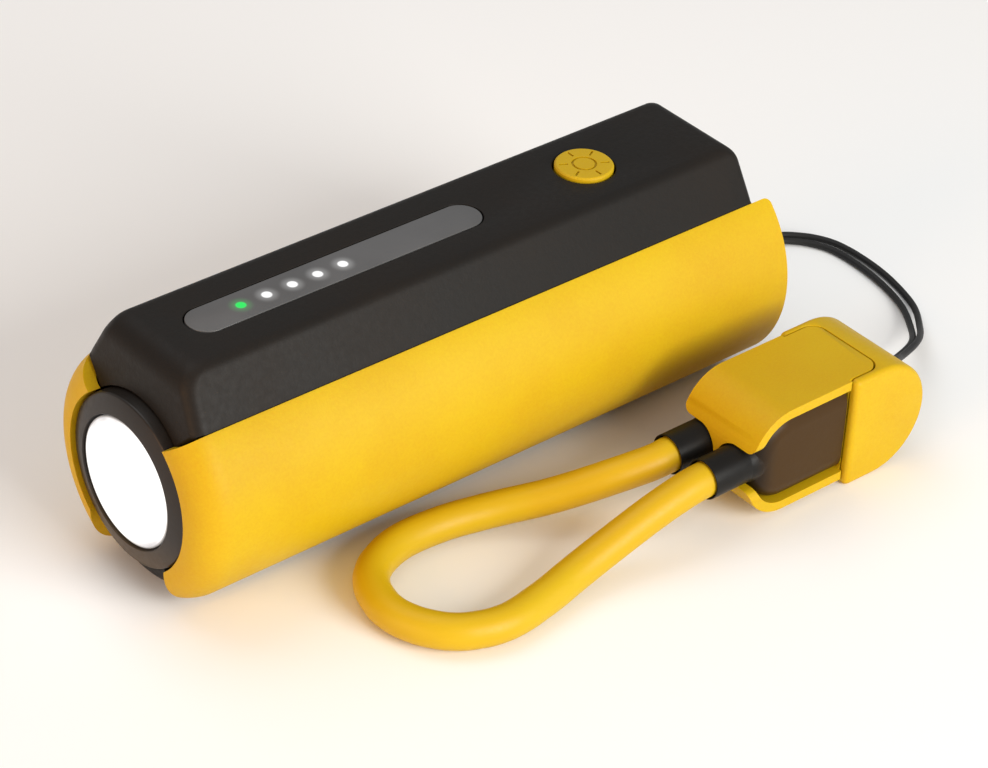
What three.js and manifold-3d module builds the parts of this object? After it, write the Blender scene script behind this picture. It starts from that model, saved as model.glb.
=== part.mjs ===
// Hand-held jump starter pack with a torch, lying on its belly, and its tethered charging cable.
// Millimetres, +Z up. X runs along the pack, with the torch at -X and the sockets at +X. Z = 0 is the surface.
import * as THREE from 'three'
import { mergeVertices } from 'three/addons/utils/BufferGeometryUtils.js'
import Module from 'manifold-3d'

const wasm = await Module()
wasm.setup()

// ---------------------------------------------------------------- driving dimensions
const GAP = 0.3 // clearance kept between neighbouring pieces
const LENGTH = 120.4 // pack, from lens to rear edge of the covers
const FRONT = -LENGTH / 2
const AXIS_Z = 20.4 // height of the body axis above the surface

const COVER_R = 20.8 // outer radius of the side covers
const COVER_T = 2.2
const COVER_FRONT = 0.3 // set back of the covers behind the lens
const CURL_R = 5.9 // how far the covers' front edge curls in
const CURL_X = 5.8 // and how long the curl is along the pack
const COVER_TOP_DEG = 43.5 // cover edges, measured from straight up
const COVER_LOW_DEG = 152
const COVER_CORNER_R = 3.4 // rounding of the covers' low front corner

const RAIL_TOP = 24.1 // above the body axis
const RAIL_FOOT = 15.3
const RAIL_TOP_HALF = 9.8
const RAIL_FOOT_HALF = 14.45
const RAIL_ROOF_T = 1.8
const RAIL_FRONT = 2 // set back behind the lens
const RAIL_REAR = 2.6 // set back from the covers' rear edge
const RAIL_ROUND = 2.6
const RAIL_FRONT_ROUND = 4.5

const TUBE_R = COVER_R - COVER_T - GAP // inner housing
const TUBE_T = 1.6
const TUBE_TOP_DEG = 40
const KEEL_FLAT = AXIS_Z

const LENS_R = 10.9
const LENS_T = 1.8
const BEZEL_R = 14.5
const BEZEL_IN = 12.9
const BEZEL_LEN = 12

const WINDOW_X0 = 12.2 // from the lens
const WINDOW_X1 = 68.8
const WINDOW_HALF = 3.45
const LED_X0 = 22
const LED_PITCH = 4.91
const LED_COUNT = 5
const LED_R = 1.1

const BUTTON_X = 91.4
const BUTTON_R = 4.9
const BUTTON_RISE = 0.6

const CELL_COUNT = 3
const CELL = { length: 76, width: 24, height: 7.2, front: 27 }
const BOARD = { front: 12, rear: 108, width: 20, z: 17, thick: 1.2 }

const PANEL_T = 2.6 // rear panel
const PANEL_SET = 1.6 // set back from the rear edge
const JUMP_W = 18
const JUMP_H = 9.5
const JUMP_Z = -3.5
const PORT_Z = 8.2
const USB_A = { width: 13.1, height: 5.7, y: -5.2 }
const USB_C = { width: 9, height: 3.3, y: 8.2 }
const LANYARD_Z = -13.2

const DOCK = { x: 49.8, y: -38.9, yaw: 0, width: 18.6 }
const CAP = { height: 20.8, straight: 6.6, seat: 6.6 }
const TRAY = { front: -21.8, width: 16.6, wall: 1.7, low: 1.2, nose: 8.2, insert: 15.2 }
const PLUG = { front: -19.8, rear: -0.6, thick: 7.8, nose: 6.6, heel: 1.4 }
const PLUG_T = 4.2 // half the pitch of the two plugs
const SLEEVE_R = 3.45
const SLEEVE_FRONT = -28.4
const SHELL_A = { height: 12, thick: 4.5, length: 11.4 }
const SHELL_C = { height: 8.3, thick: 2.5, length: 6.6 }

const CORD_D = 5.9
const LANYARD_D = 1.2

const YELLOW = 0xf6c026
const BLACK = 0x262524
const STEEL = 0xb9bcc0
const BRASS = 0xc9a14a

// ---------------------------------------------------------------- shape helpers
function solid(geometry) {
  const bare = geometry.clone()
  bare.deleteAttribute('normal')
  bare.deleteAttribute('uv')
  const welded = mergeVertices(bare, 1e-4)
  return new wasm.Manifold(new wasm.Mesh({
    numProp: 3,
    vertProperties: Float32Array.from(welded.attributes.position.array),
    triVerts: Uint32Array.from(welded.index.array),
  }))
}

function geometryOf(body) {
  const mesh = body.getMesh()
  const geometry = new THREE.BufferGeometry()
  geometry.setAttribute('position', new THREE.BufferAttribute(Float32Array.from(mesh.vertProperties), 3))
  geometry.setIndex(new THREE.BufferAttribute(Uint32Array.from(mesh.triVerts), 1))
  return geometry
}

// Ring or cup turned round the X axis. The profile is a closed list of [x, radius], x from the lens.
function turned(profile, segments = 64) {
  const points = profile.map(([x, r]) => new THREE.Vector2(r, x))
  points.push(points[0].clone())
  const geometry = new THREE.LatheGeometry(points, segments)
  geometry.applyMatrix4(new THREE.Matrix4().set(0, 1, 0, FRONT, 1, 0, 0, 0, 0, 0, -1, AXIS_Z, 0, 0, 0, 1))
  return solid(outward(geometry))
}

// Turns a closed surface the right way out.
function outward(geometry) {
  const index = geometry.index
  const p = geometry.attributes.position
  let volume = 0
  const a = new THREE.Vector3()
  const b = new THREE.Vector3()
  const c = new THREE.Vector3()
  for (let i = 0; i < index.count; i += 3) {
    a.fromBufferAttribute(p, index.getX(i))
    b.fromBufferAttribute(p, index.getX(i + 1))
    c.fromBufferAttribute(p, index.getX(i + 2))
    volume += a.dot(b.cross(c))
  }
  if (volume < 0) {
    const flipped = Array.from(index.array)
    for (let i = 0; i < flipped.length; i += 3) {
      const swap = flipped[i + 1]
      flipped[i + 1] = flipped[i + 2]
      flipped[i + 2] = swap
    }
    geometry.setIndex(flipped)
  }
  return geometry
}

function polygon(points) {
  return new THREE.Shape(points.map(([a, b]) => new THREE.Vector2(a, b)))
}

function roundedRect(a0, b0, a1, b1, r) {
  const shape = new THREE.Shape()
  const [ll, lr, ur, ul] = Array.isArray(r) ? r : [r, r, r, r]
  shape.moveTo(a0 + ll, b0)
  shape.lineTo(a1 - lr, b0)
  if (lr > 0) shape.absarc(a1 - lr, b0 + lr, lr, -Math.PI / 2, 0)
  shape.lineTo(a1, b1 - ur)
  if (ur > 0) shape.absarc(a1 - ur, b1 - ur, ur, 0, Math.PI / 2)
  shape.lineTo(a0 + ul, b1)
  if (ul > 0) shape.absarc(a0 + ul, b1 - ul, ul, Math.PI / 2, Math.PI)
  shape.lineTo(a0, b0 + ll)
  if (ll > 0) shape.absarc(a0 + ll, b0 + ll, ll, Math.PI, Math.PI * 1.5)
  return shape
}

function raise(shape, depth, bevel = 0, curveSegments = 8, bevelSegments = 2) {
  const options = { depth: depth - 2 * bevel, bevelEnabled: bevel > 0, curveSegments, steps: 1 }
  if (bevel > 0) {
    Object.assign(options, {
      bevelSize: bevel,
      bevelThickness: bevel,
      bevelOffset: -bevel,
      bevelSegments,
    })
  }
  const geometry = indexed(new THREE.ExtrudeGeometry(shape, options))
  geometry.translate(0, 0, bevel)
  return geometry
}

function indexed(geometry) {
  const bare = geometry.clone()
  bare.deleteAttribute('normal')
  bare.deleteAttribute('uv')
  return mergeVertices(bare, 1e-4)
}

// Shape in [y, z about the body axis], raised along +X from x0 to x1 (both from the lens).
function alongX(shape, x0, x1, bevel = 0, curveSegments = 8) {
  const geometry = raise(shape, x1 - x0, bevel, curveSegments)
  geometry.applyMatrix4(new THREE.Matrix4().set(0, 0, 1, FRONT + x0, 1, 0, 0, 0, 0, 1, 0, AXIS_Z, 0, 0, 0, 1))
  return solid(geometry)
}

// Shape in [x from the lens, y], raised along +Z between heights above the body axis.
function alongZ(shape, z0, z1, bevel = 0, curveSegments = 8) {
  const geometry = raise(shape, z1 - z0, bevel, curveSegments)
  geometry.translate(FRONT, 0, AXIS_Z + z0)
  return solid(geometry)
}

// Shape in [x from the lens, z about the body axis], raised across the pack.
function alongY(shape, y0, y1, bevel = 0, curveSegments = 8) {
  const geometry = raise(shape, y1 - y0, bevel, curveSegments)
  geometry.applyMatrix4(new THREE.Matrix4().set(1, 0, 0, FRONT, 0, 0, -1, y1, 0, 1, 0, AXIS_Z, 0, 0, 0, 1))
  return solid(geometry)
}

function disc(r) {
  const shape = new THREE.Shape()
  shape.absarc(0, 0, r, 0, Math.PI * 2)
  return shape
}

function discAt(a, b, r) {
  const shape = new THREE.Shape()
  shape.absarc(a, b, r, 0, Math.PI * 2)
  return shape
}

const rad = (degrees) => (degrees * Math.PI) / 180

// Point on the section at a radius and an angle from straight up, towards +Y.
const polar = (r, degrees) => [r * Math.sin(rad(degrees)), r * Math.cos(rad(degrees))]

function arcPoints(r, from, to, steps) {
  const points = []
  for (let i = 0; i <= steps; i += 1) points.push(polar(r, from + ((to - from) * i) / steps))
  return points
}

const part = new THREE.Group()
part.name = 'jump_starter_pack'

function add(name, body, color, roughness = 0.55, metalness = 0, group = part) {
  const geometry = body instanceof THREE.BufferGeometry ? body : geometryOf(body)
  const material = new THREE.MeshStandardMaterial({ color, roughness, metalness })
  material.name = name
  const mesh = new THREE.Mesh(geometry, material)
  mesh.name = name
  group.add(mesh)
  return mesh
}

// ---------------------------------------------------------------- side covers
// Wall of the covers as a ring profile: plain behind, curled in to the bezel in front.
function coverProfile(outer, inner, front, rear, curl = CURL_X) {
  const profile = []
  const steps = 6
  const centre = front + curl
  for (let i = 0; i <= steps; i += 1) {
    const a = (Math.PI / 2) * (i / steps)
    profile.push([centre - curl * Math.cos(a), outer - CURL_R + CURL_R * Math.sin(a)])
  }
  profile.push([rear - 0.8, outer], [rear, outer - 0.7], [rear, inner])
  const wall = outer - inner
  for (let i = steps; i >= 0; i -= 1) {
    const a = (Math.PI / 2) * (i / steps)
    profile.push([centre - (curl - wall) * Math.cos(a), outer - CURL_R + (CURL_R - wall) * Math.sin(a)])
  }
  return profile
}

const FAR_R = 40
const shellRing = turned(coverProfile(COVER_R, COVER_R - COVER_T, COVER_FRONT, LENGTH), 72)

function wedge(from, to, side) {
  const outer = arcPoints(FAR_R, from, to, 6).map(([y, z]) => [side * y, z])
  const points = [[0, 0], ...outer]
  return alongX(polygon(side > 0 ? points.reverse() : points), -2, LENGTH + 2)
}

// Outline that rounds the low front and rear corners of a cover, seen from the side.
const coverLowZ = COVER_R * Math.cos(rad(COVER_LOW_DEG)) - 0.4
const coverOutline = roundedRect(COVER_FRONT - 1, coverLowZ, LENGTH + 0.2, 24, [COVER_CORNER_R, 2.4, 0, 0])

for (const [name, side] of [['left_cover', 1], ['right_cover', -1]]) {
  const sector = shellRing.intersect(wedge(COVER_TOP_DEG, COVER_LOW_DEG, side))
  add(name, sector.intersect(alongY(coverOutline, -30, 30)), YELLOW, 0.5)
}

// ---------------------------------------------------------------- lower housing with its keel
const tubeOuter = arcPoints(TUBE_R, TUBE_TOP_DEG, 360 - TUBE_TOP_DEG, 44)
const tubeInner = arcPoints(TUBE_R - TUBE_T, 360 - TUBE_TOP_DEG, TUBE_TOP_DEG, 44)
const tubeFront = COVER_FRONT + CURL_X + 1.2
const tubeRear = LENGTH - PANEL_SET - PANEL_T - GAP
const tube = alongX(polygon([...tubeOuter, ...tubeInner].reverse()), tubeFront, tubeRear)
const keelEdge = COVER_LOW_DEG + 0.9
const keelWedge = alongX(polygon([[0, 0], ...arcPoints(FAR_R, keelEdge, 360 - keelEdge, 6)].reverse()), -2, LENGTH + 2)
const keelRing = turned(coverProfile(COVER_R, TUBE_R - 0.5, COVER_FRONT + 2.2, LENGTH - 0.6, 8), 72)
const keelSlab = alongX(polygon([[-30, -KEEL_FLAT], [30, -KEEL_FLAT], [30, 0], [-30, 0]]), -2, LENGTH + 2)
const rearSeat = alongX(disc(TUBE_R + GAP), tubeRear, LENGTH + 2, 0, 24)
const keel = keelRing.intersect(keelWedge).intersect(keelSlab).subtract(rearSeat)
add('lower_housing', tube.add(keel), BLACK, 0.6)

// ---------------------------------------------------------------- top rail
const noseR = BEZEL_R + GAP + 0.1
const railSide = COVER_TOP_DEG - 0.9
const railSection = polygon([
  [-RAIL_TOP_HALF, RAIL_TOP],
  [-RAIL_FOOT_HALF, RAIL_FOOT],
  ...arcPoints(noseR, -railSide, railSide, 12),
  [RAIL_FOOT_HALF, RAIL_FOOT],
  [RAIL_TOP_HALF, RAIL_TOP],
])
const railEnd = LENGTH - RAIL_REAR
const railPlan = roundedRect(RAIL_FRONT, -RAIL_FOOT_HALF, railEnd, RAIL_FOOT_HALF, [2.4, 1.2, 1.2, 2.4])
const railProfile = new THREE.Shape()
railProfile.moveTo(RAIL_FRONT, 8)
railProfile.lineTo(railEnd, 8)
railProfile.lineTo(railEnd - 0.9, RAIL_TOP - RAIL_ROUND)
railProfile.absarc(railEnd - 0.9 - RAIL_ROUND, RAIL_TOP - RAIL_ROUND, RAIL_ROUND, 0, Math.PI / 2)
railProfile.lineTo(RAIL_FRONT + 1.2 + RAIL_FRONT_ROUND, RAIL_TOP)
railProfile.absarc(RAIL_FRONT + 1.2 + RAIL_FRONT_ROUND, RAIL_TOP - RAIL_FRONT_ROUND, RAIL_FRONT_ROUND,
  Math.PI / 2, Math.PI)

// Trapezoid with its two long top edges rounded.
function railBlock() {
  const shape = new THREE.Shape()
  const slope = Math.atan2(RAIL_FOOT_HALF - RAIL_TOP_HALF, RAIL_TOP - RAIL_FOOT)
  const r = RAIL_ROUND
  const centreY = RAIL_TOP_HALF - r * Math.tan((Math.PI / 2 - slope) / 2)
  const centreZ = RAIL_TOP - r
  shape.moveTo(-RAIL_FOOT_HALF, RAIL_FOOT)
  for (const [y, z] of arcPoints(noseR, -railSide, railSide, 12)) shape.lineTo(y, z)
  shape.lineTo(RAIL_FOOT_HALF, RAIL_FOOT)
  shape.absarc(centreY, centreZ, r, slope, Math.PI / 2)
  shape.absarc(-centreY, centreZ, r, Math.PI / 2, Math.PI - slope)
  return alongX(shape, RAIL_FRONT - 1, LENGTH, 0, 6)
}

const cavityTop = RAIL_TOP - RAIL_ROOF_T
const cavity = polygon([
  [-9.1, cavityTop],
  [-12, 15.7],
  [-11.6, 14],
  [11.6, 14],
  [12, 15.7],
  [9.1, cavityTop],
])
const cavityRear = railEnd - 2.2
let rail = railBlock()
  .intersect(alongZ(railPlan, 0, RAIL_TOP + 1, 0, 6))
  .intersect(alongY(railProfile, -20, 20, 0, 6))
  .subtract(alongX(cavity, tubeFront - 1.6, cavityRear))
  .subtract(alongX(disc(COVER_R - COVER_T), tubeFront - 0.6, LENGTH + 2, 0, 32))

const slot = (half, x0, x1) => roundedRect(x0, -half, x1, half, half)
rail = rail.subtract(alongZ(slot(WINDOW_HALF + GAP, WINDOW_X0 - GAP, WINDOW_X1 + GAP), 20, 30, 0, 10))
rail = rail.subtract(alongZ(discAt(BUTTON_X, 0, BUTTON_R + GAP), 20, 30, 0, 16))

const boardScrews = [[17, 7.2], [17, -7.2], [103, 7.2], [103, -7.2]]
const boardTop = BOARD.z + BOARD.thick
for (const [x, y] of boardScrews) {
  rail = rail.add(alongZ(discAt(x, y, 2.3), boardTop + GAP, cavityTop + 0.4, 0, 5))
  rail = rail.subtract(alongZ(discAt(x, y, 1.1), boardTop - 1, cavityTop - 0.4, 0, 3))
}
add('top_rail', rail, BLACK, 0.6)

// ---------------------------------------------------------------- torch
add('bezel', turned([
  [0, LENS_R + GAP], [0.9, BEZEL_R], [BEZEL_LEN, BEZEL_R], [BEZEL_LEN, BEZEL_IN],
  [3.6, BEZEL_IN], [3.6, LENS_R - 0.8], [2.2, LENS_R - 0.8], [2.2, LENS_R + GAP],
], 56), BLACK, 0.45)
add('lens', turned([[0.1, 0.001], [0.1, LENS_R - 0.3], [0.4, LENS_R], [0.1 + LENS_T, LENS_R], [0.1 + LENS_T, 0.001]],
  40), 0xf4f7fb, 0.1)

const reflectorOuter = []
const reflectorInner = []
const bowlSteps = 6
for (let i = 0; i <= bowlSteps; i += 1) {
  const t = i / bowlSteps
  const x = 4.9 + 11.4 * t
  const r = 3 + 6.6 * Math.sqrt(1 - t)
  reflectorOuter.push([x, r + 0.9])
  reflectorInner.push([x, r])
}
add('reflector', turned([[3.9, 9.6], [3.9, BEZEL_IN - GAP], [4.9, BEZEL_IN - GAP], ...reflectorOuter,
  ...reflectorInner.reverse()], 32), 0xd9dde0, 0.12, 1)
add('torch_emitter', alongX(roundedRect(-1.7, -1.7, 1.7, 1.7, 0.4), 15.2, 16.4, 0, 3), 0xf2d84a, 0.4)
add('torch_board', alongX(disc(10), 16.7, 18.2, 0, 10), 0xe6e8ea, 0.5)
add('heat_sink', turned([[18.5, 0.001], [18.5, 14], [19.7, 14], [19.7, 11.6], [20.9, 11.6], [20.9, 14],
  [22.1, 14], [22.1, 11.6], [23.3, 11.6], [23.3, 14], [24.5, 14], [24.5, 0.001]], 24), 0xb4b8bc, 0.4, 1)
add('lamp_carrier', turned([[BEZEL_LEN + GAP, 10.4], [BEZEL_LEN + GAP, TUBE_R - TUBE_T - GAP],
  [25, TUBE_R - TUBE_T - GAP], [25, 14.3], [18.5, 14.3], [18.5, 10.4]], 32), 0x33312f, 0.7)

// ---------------------------------------------------------------- indicator window, lamps and button
const windowBody = alongZ(slot(WINDOW_HALF, WINDOW_X0, WINDOW_X1), cavityTop - 0.6, RAIL_TOP, 0, 10)
const windowLip = alongZ(slot(WINDOW_HALF + 1, WINDOW_X0 - 1, WINDOW_X1 + 1), cavityTop - 1.1, cavityTop - GAP, 0, 10)
add('indicator_window', windowBody.add(windowLip), 0x6f7173, 0.3)

for (let i = 0; i < LED_COUNT; i += 1) {
  const x = LED_X0 + i * LED_PITCH
  const lamp = alongZ(discAt(x, 0, LED_R), boardTop + GAP, cavityTop - 1.5, 0.25, 5)
  add(`indicator_led_${i + 1}`, lamp, i === 0 ? 0x19c94a : 0xffffff, 0.3)
}

let button = alongZ(discAt(BUTTON_X, 0, BUTTON_R), 20.2, RAIL_TOP + BUTTON_RISE, 0.35, 18)
button = button.add(alongZ(discAt(BUTTON_X, 0, BUTTON_R + 1), cavityTop - 1.4, cavityTop - GAP, 0, 12))
const iconDepth = RAIL_TOP + BUTTON_RISE - 0.3
button = button.subtract(alongZ(discAt(BUTTON_X, 0, 2.1), iconDepth, 30, 0, 10)
  .subtract(alongZ(discAt(BUTTON_X, 0, 1.75), iconDepth - 1, 31, 0, 10)))
const RAYS = 6
for (let i = 0; i < RAYS; i += 1) {
  const ray = alongZ(roundedRect(2.7, -0.17, 4, 0.17, 0), iconDepth, 30)
  const turn = new THREE.Matrix4().makeTranslation(FRONT + BUTTON_X, 0, 0)
    .multiply(new THREE.Matrix4().makeRotationZ((Math.PI * 2 * (i + 0.5)) / RAYS))
    .multiply(new THREE.Matrix4().makeTranslation(-FRONT, 0, 0))
  button = button.subtract(ray.transform(turn.elements))
}
add('power_button', button, YELLOW, 0.5)
add('button_switch', alongZ(roundedRect(BUTTON_X - 3, -3, BUTTON_X + 3, 3, 0.5), boardTop + 0.05, boardTop + 0.85, 0, 2),
  0x2b2b2b, 0.6)

// ---------------------------------------------------------------- board, battery
let board = alongZ(roundedRect(BOARD.front, -BOARD.width / 2, BOARD.rear, BOARD.width / 2, 1), BOARD.z, boardTop)
for (const [x, y] of boardScrews) board = board.subtract(alongZ(discAt(x, y, 1.15), 0, 30, 0, 4))
add('main_board', board, 0x1f6b3a, 0.6)
boardScrews.forEach(([x, y], i) => {
  const head = alongZ(discAt(x, y, 1.8), BOARD.z - 1.3, BOARD.z - GAP, 0, 4)
  const shank = alongZ(discAt(x, y, 0.8), BOARD.z - 0.6, cavityTop - 0.9, 0, 3)
  add(`board_screw_${i + 1}`, head.add(shank), STEEL, 0.35, 1)
})
add('control_chip', alongZ(roundedRect(56, -4, 64, 4, 0.3), BOARD.z - 1.4, BOARD.z - 0.05, 0, 2), 0x1b1b1c, 0.5)
add('power_inductor', alongZ(roundedRect(74, -4.5, 83, 4.5, 1.5), BOARD.z - 4.4, BOARD.z - 0.05, 0, 3), 0x4a4a4c, 0.6)

for (let i = 0; i < CELL_COUNT; i += 1) {
  const pitch = CELL.height + GAP
  const low = (i - (CELL_COUNT - 1) / 2) * pitch - CELL.height / 2
  const section = roundedRect(-CELL.width / 2, low, CELL.width / 2, low + CELL.height, 1.2)
  add(`battery_cell_${i + 1}`, alongX(section, CELL.front, CELL.front + CELL.length, 0, 4), 0x9aa3ad, 0.45, 0.6)
}

const stopFront = CELL.front + CELL.length + GAP
add('battery_stop', alongX(disc(TUBE_R - TUBE_T - GAP), stopFront, stopFront + 1.4, 0, 12), 0x33312f, 0.7)

// ---------------------------------------------------------------- rear panel and its sockets
const panelFront = LENGTH - PANEL_SET - PANEL_T
const panelFace = LENGTH - PANEL_SET
const box = (y, z, w, h, r = 0) => roundedRect(y - w / 2, z - h / 2, y + w / 2, z + h / 2, r)
let panel = alongX(disc(TUBE_R), panelFront, panelFace, 0, 24)
panel = panel.subtract(alongX(box(0, JUMP_Z, JUMP_W, JUMP_H, 2), 100, 130, 0, 4))
panel = panel.subtract(alongX(box(USB_A.y, PORT_Z, USB_A.width + 0.6, USB_A.height + 0.6), 100, 130))
panel = panel.subtract(alongX(box(USB_C.y, PORT_Z, USB_C.width + 0.6, USB_C.height + 0.6, 1.9), 100, 130, 0, 4))
panel = panel.subtract(alongX(box(0, LANYARD_Z, 7, 3.6, 1.2), panelFront + 0.6, 130, 0, 3))
const panelScrews = [[12.3, -9.2], [-12.3, -9.2], [13.4, 1.2], [-13.4, 1.2]]
for (const [y, z] of panelScrews) panel = panel.subtract(alongX(discAt(y, z, 1.7), panelFace - 1.3, 130, 0, 6))
add('rear_panel', panel, BLACK, 0.6)
panelScrews.forEach(([y, z], i) => {
  const screw = alongX(discAt(y, z, 1.4), panelFace - 1, panelFace - 0.2, 0.15, 6)
  const cross = alongX(box(y, z, 1.7, 0.4), panelFace - 0.6, 130).add(alongX(box(y, z, 0.4, 1.7), panelFace - 0.6, 130))
  add(`panel_screw_${i + 1}`, screw.subtract(cross), STEEL, 0.35, 1)
})

// Jump lead socket: a block behind the panel with two round brass contacts.
const socketFront = panelFront - 9.5
const contactY = 4.4
let jumpBlock = alongX(box(0, JUMP_Z, JUMP_W + 2.4, JUMP_H + 2.4, 2), socketFront, panelFront - GAP, 0, 4)
jumpBlock = jumpBlock.subtract(alongX(box(0, JUMP_Z, JUMP_W, JUMP_H, 2), panelFront - 3.2, 130, 0, 4))
for (const side of [1, -1]) {
  jumpBlock = jumpBlock.subtract(alongX(discAt(side * contactY, JUMP_Z, 3.3), socketFront + 1, 130, 0, 8))
}
add('jump_socket', jumpBlock, 0x1d3f7a, 0.55)
for (const [name, side] of [['jump_contact_positive', 1], ['jump_contact_negative', -1]]) {
  const y = side * contactY
  const pin = alongX(discAt(y, JUMP_Z, 2.9), socketFront + 1.3, panelFront - 3.6, 0, 8)
  add(name, pin.subtract(alongX(discAt(y, JUMP_Z, 2.1), socketFront + 2.5, 130, 0, 8)), BRASS, 0.3, 1)
}

function port(name, spec, depth, wall, round, tongue) {
  const outer = alongX(box(spec.y, PORT_Z, spec.width, spec.height, round), panelFace - depth, panelFace - 0.4, 0, 4)
  const innerRound = Math.max(round - wall, 0)
  const inner = box(spec.y, PORT_Z, spec.width - 2 * wall, spec.height - 2 * wall, innerRound)
  add(`${name}_shell`, outer.subtract(alongX(inner, panelFace - depth + 0.5, 130, 0, 4)), STEEL, 0.3, 1)
  const blade = box(spec.y, PORT_Z + tongue.z, tongue.width, tongue.height)
  add(`${name}_tongue`, alongX(blade, panelFace - depth + 0.8, panelFace - 1.6), tongue.color, 0.5)
}
port('usb_a', USB_A, 13, 0.35, 0, { width: 11.2, height: 1.8, z: 0.9, color: 0xe8812a })
port('usb_c', USB_C, 7.5, 0.3, 1.6, { width: 6.6, height: 0.7, z: 0, color: 0x202020 })
add('lanyard_pin', alongY(discAt(panelFace - 1, LANYARD_Z, 0.55), -3.2, 3.2, 0, 5), STEEL, 0.35, 1)

// ---------------------------------------------------------------- cable dock beside the pack
// Dock space: s along the dock (rear +), t across it (+Y), h above the surface.
const dock = new THREE.Group()
dock.name = 'cable_dock'
const dockPlace = new THREE.Matrix4().makeTranslation(DOCK.x, DOCK.y, 0)
  .multiply(new THREE.Matrix4().makeRotationZ(rad(DOCK.yaw)))

// Shape in [s, h], raised across the dock from t0 to t1.
function across(shape, t0, t1, bevel = 0, curveSegments = 8) {
  const geometry = raise(shape, t1 - t0, bevel, curveSegments)
  geometry.applyMatrix4(new THREE.Matrix4().set(1, 0, 0, 0, 0, 0, -1, t1, 0, 1, 0, 0, 0, 0, 0, 1))
  return solid(geometry)
}

// Shape in [t, h], raised along the dock from s0 to s1.
function forward(shape, s0, s1, bevel = 0, curveSegments = 8) {
  const geometry = raise(shape, s1 - s0, bevel, curveSegments)
  geometry.applyMatrix4(new THREE.Matrix4().set(0, 0, 1, s0, 1, 0, 0, 0, 0, 1, 0, 0, 0, 0, 0, 1))
  return solid(geometry)
}

// Shape in [s, t], raised between two heights.
function upward(shape, h0, h1, bevel = 0, curveSegments = 8) {
  const geometry = raise(shape, h1 - h0, bevel, curveSegments)
  geometry.translate(0, 0, h0)
  return solid(geometry)
}

function addDock(name, body, color, roughness, metalness = 0) {
  const mesh = add(name, body, color, roughness, metalness)
  mesh.geometry.applyMatrix4(dockPlace)
  return mesh
}

const capR = CAP.height / 2
const capProfile = new THREE.Shape()
capProfile.moveTo(0, 0)
capProfile.lineTo(CAP.straight, 0)
capProfile.absarc(CAP.straight, capR, capR, -Math.PI / 2, Math.PI / 2)
capProfile.lineTo(0, CAP.height)
const half = DOCK.width / 2
const trayTop = CAP.height
const trayLow = TRAY.low
const plugMid = (trayTop + trayLow) / 2
const plugLow = trayLow + TRAY.wall + 0.2
const plugHigh = trayTop - TRAY.wall - 0.2
const seatHalf = TRAY.insert / 2 + GAP
const seatPlan = roundedRect(-5, -seatHalf, CAP.seat + GAP, seatHalf, [0, 2.6, 2.6, 0])
let cap = across(capProfile, -half, half, 1, 14).subtract(upward(seatPlan, trayLow - GAP, 40, 0, 5))
const shellSlots = [[PLUG_T, SHELL_C], [-PLUG_T, SHELL_A]]
for (const [t, shell] of shellSlots) {
  const w = shell.thick + 2 * GAP + 0.2
  const h = shell.height + 2 * GAP + 0.2
  const slotShape = roundedRect(t - w / 2, plugMid - h / 2, t + w / 2, plugMid + h / 2, 0)
  cap = cap.subtract(forward(slotShape, 2, PLUG.rear + shell.length + 0.6))
}
const EYE_H = 12.6
const EYE_R = 1.9
cap = cap.subtract(forward(discAt(0, EYE_H, EYE_R), CAP.straight + 8.4 - 3.2, 30, 0, 6))
addDock('dock_cap', cap, YELLOW, 0.5)

const trayOuter = roundedRect(TRAY.front, trayLow, CAP.seat, trayTop, [TRAY.nose, 0.6, 0, TRAY.nose])
const trayHole = roundedRect(TRAY.front + TRAY.wall, trayLow + TRAY.wall, PLUG.rear + GAP + 0.2, trayTop - TRAY.wall,
  [TRAY.nose - TRAY.wall, 0.6, 0.6, TRAY.nose - TRAY.wall])
let tray = across(trayOuter, -TRAY.width / 2, TRAY.width / 2, 0.3, 8).subtract(across(trayHole, -10, 10, 0, 8))
const insertHalf = TRAY.insert / 2
const neck = roundedRect(-40, -insertHalf, CAP.seat, insertHalf, [0, 2.4, 2.4, 0])
const bodyPlan = roundedRect(-40, -10, -GAP, 10, 0)
tray = tray.intersect(upward(neck, -5, 40, 0, 5).add(upward(bodyPlan, -5, 40)))
for (const [t, shell] of shellSlots) {
  const w = shell.thick + 2 * GAP
  const h = shell.height + 2 * GAP
  const slotShape = roundedRect(t - w / 2, plugMid - h / 2, t + w / 2, plugMid + h / 2, 0)
  tray = tray.subtract(forward(slotShape, -1, 20))
}
const notchR = SLEEVE_R + GAP
for (const side of [1, -1]) {
  const t = side * PLUG_T
  tray = tray.subtract(forward(discAt(t, plugMid, notchR), -40, -10, 0, 8))
  const outside = side > 0 ? [t, 12] : [-12, t]
  tray = tray.subtract(forward(roundedRect(outside[0], plugMid - notchR, outside[1], plugMid + notchR, 0), -40, -10))
}
addDock('dock_tray', tray, YELLOW, 0.5)

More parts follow.
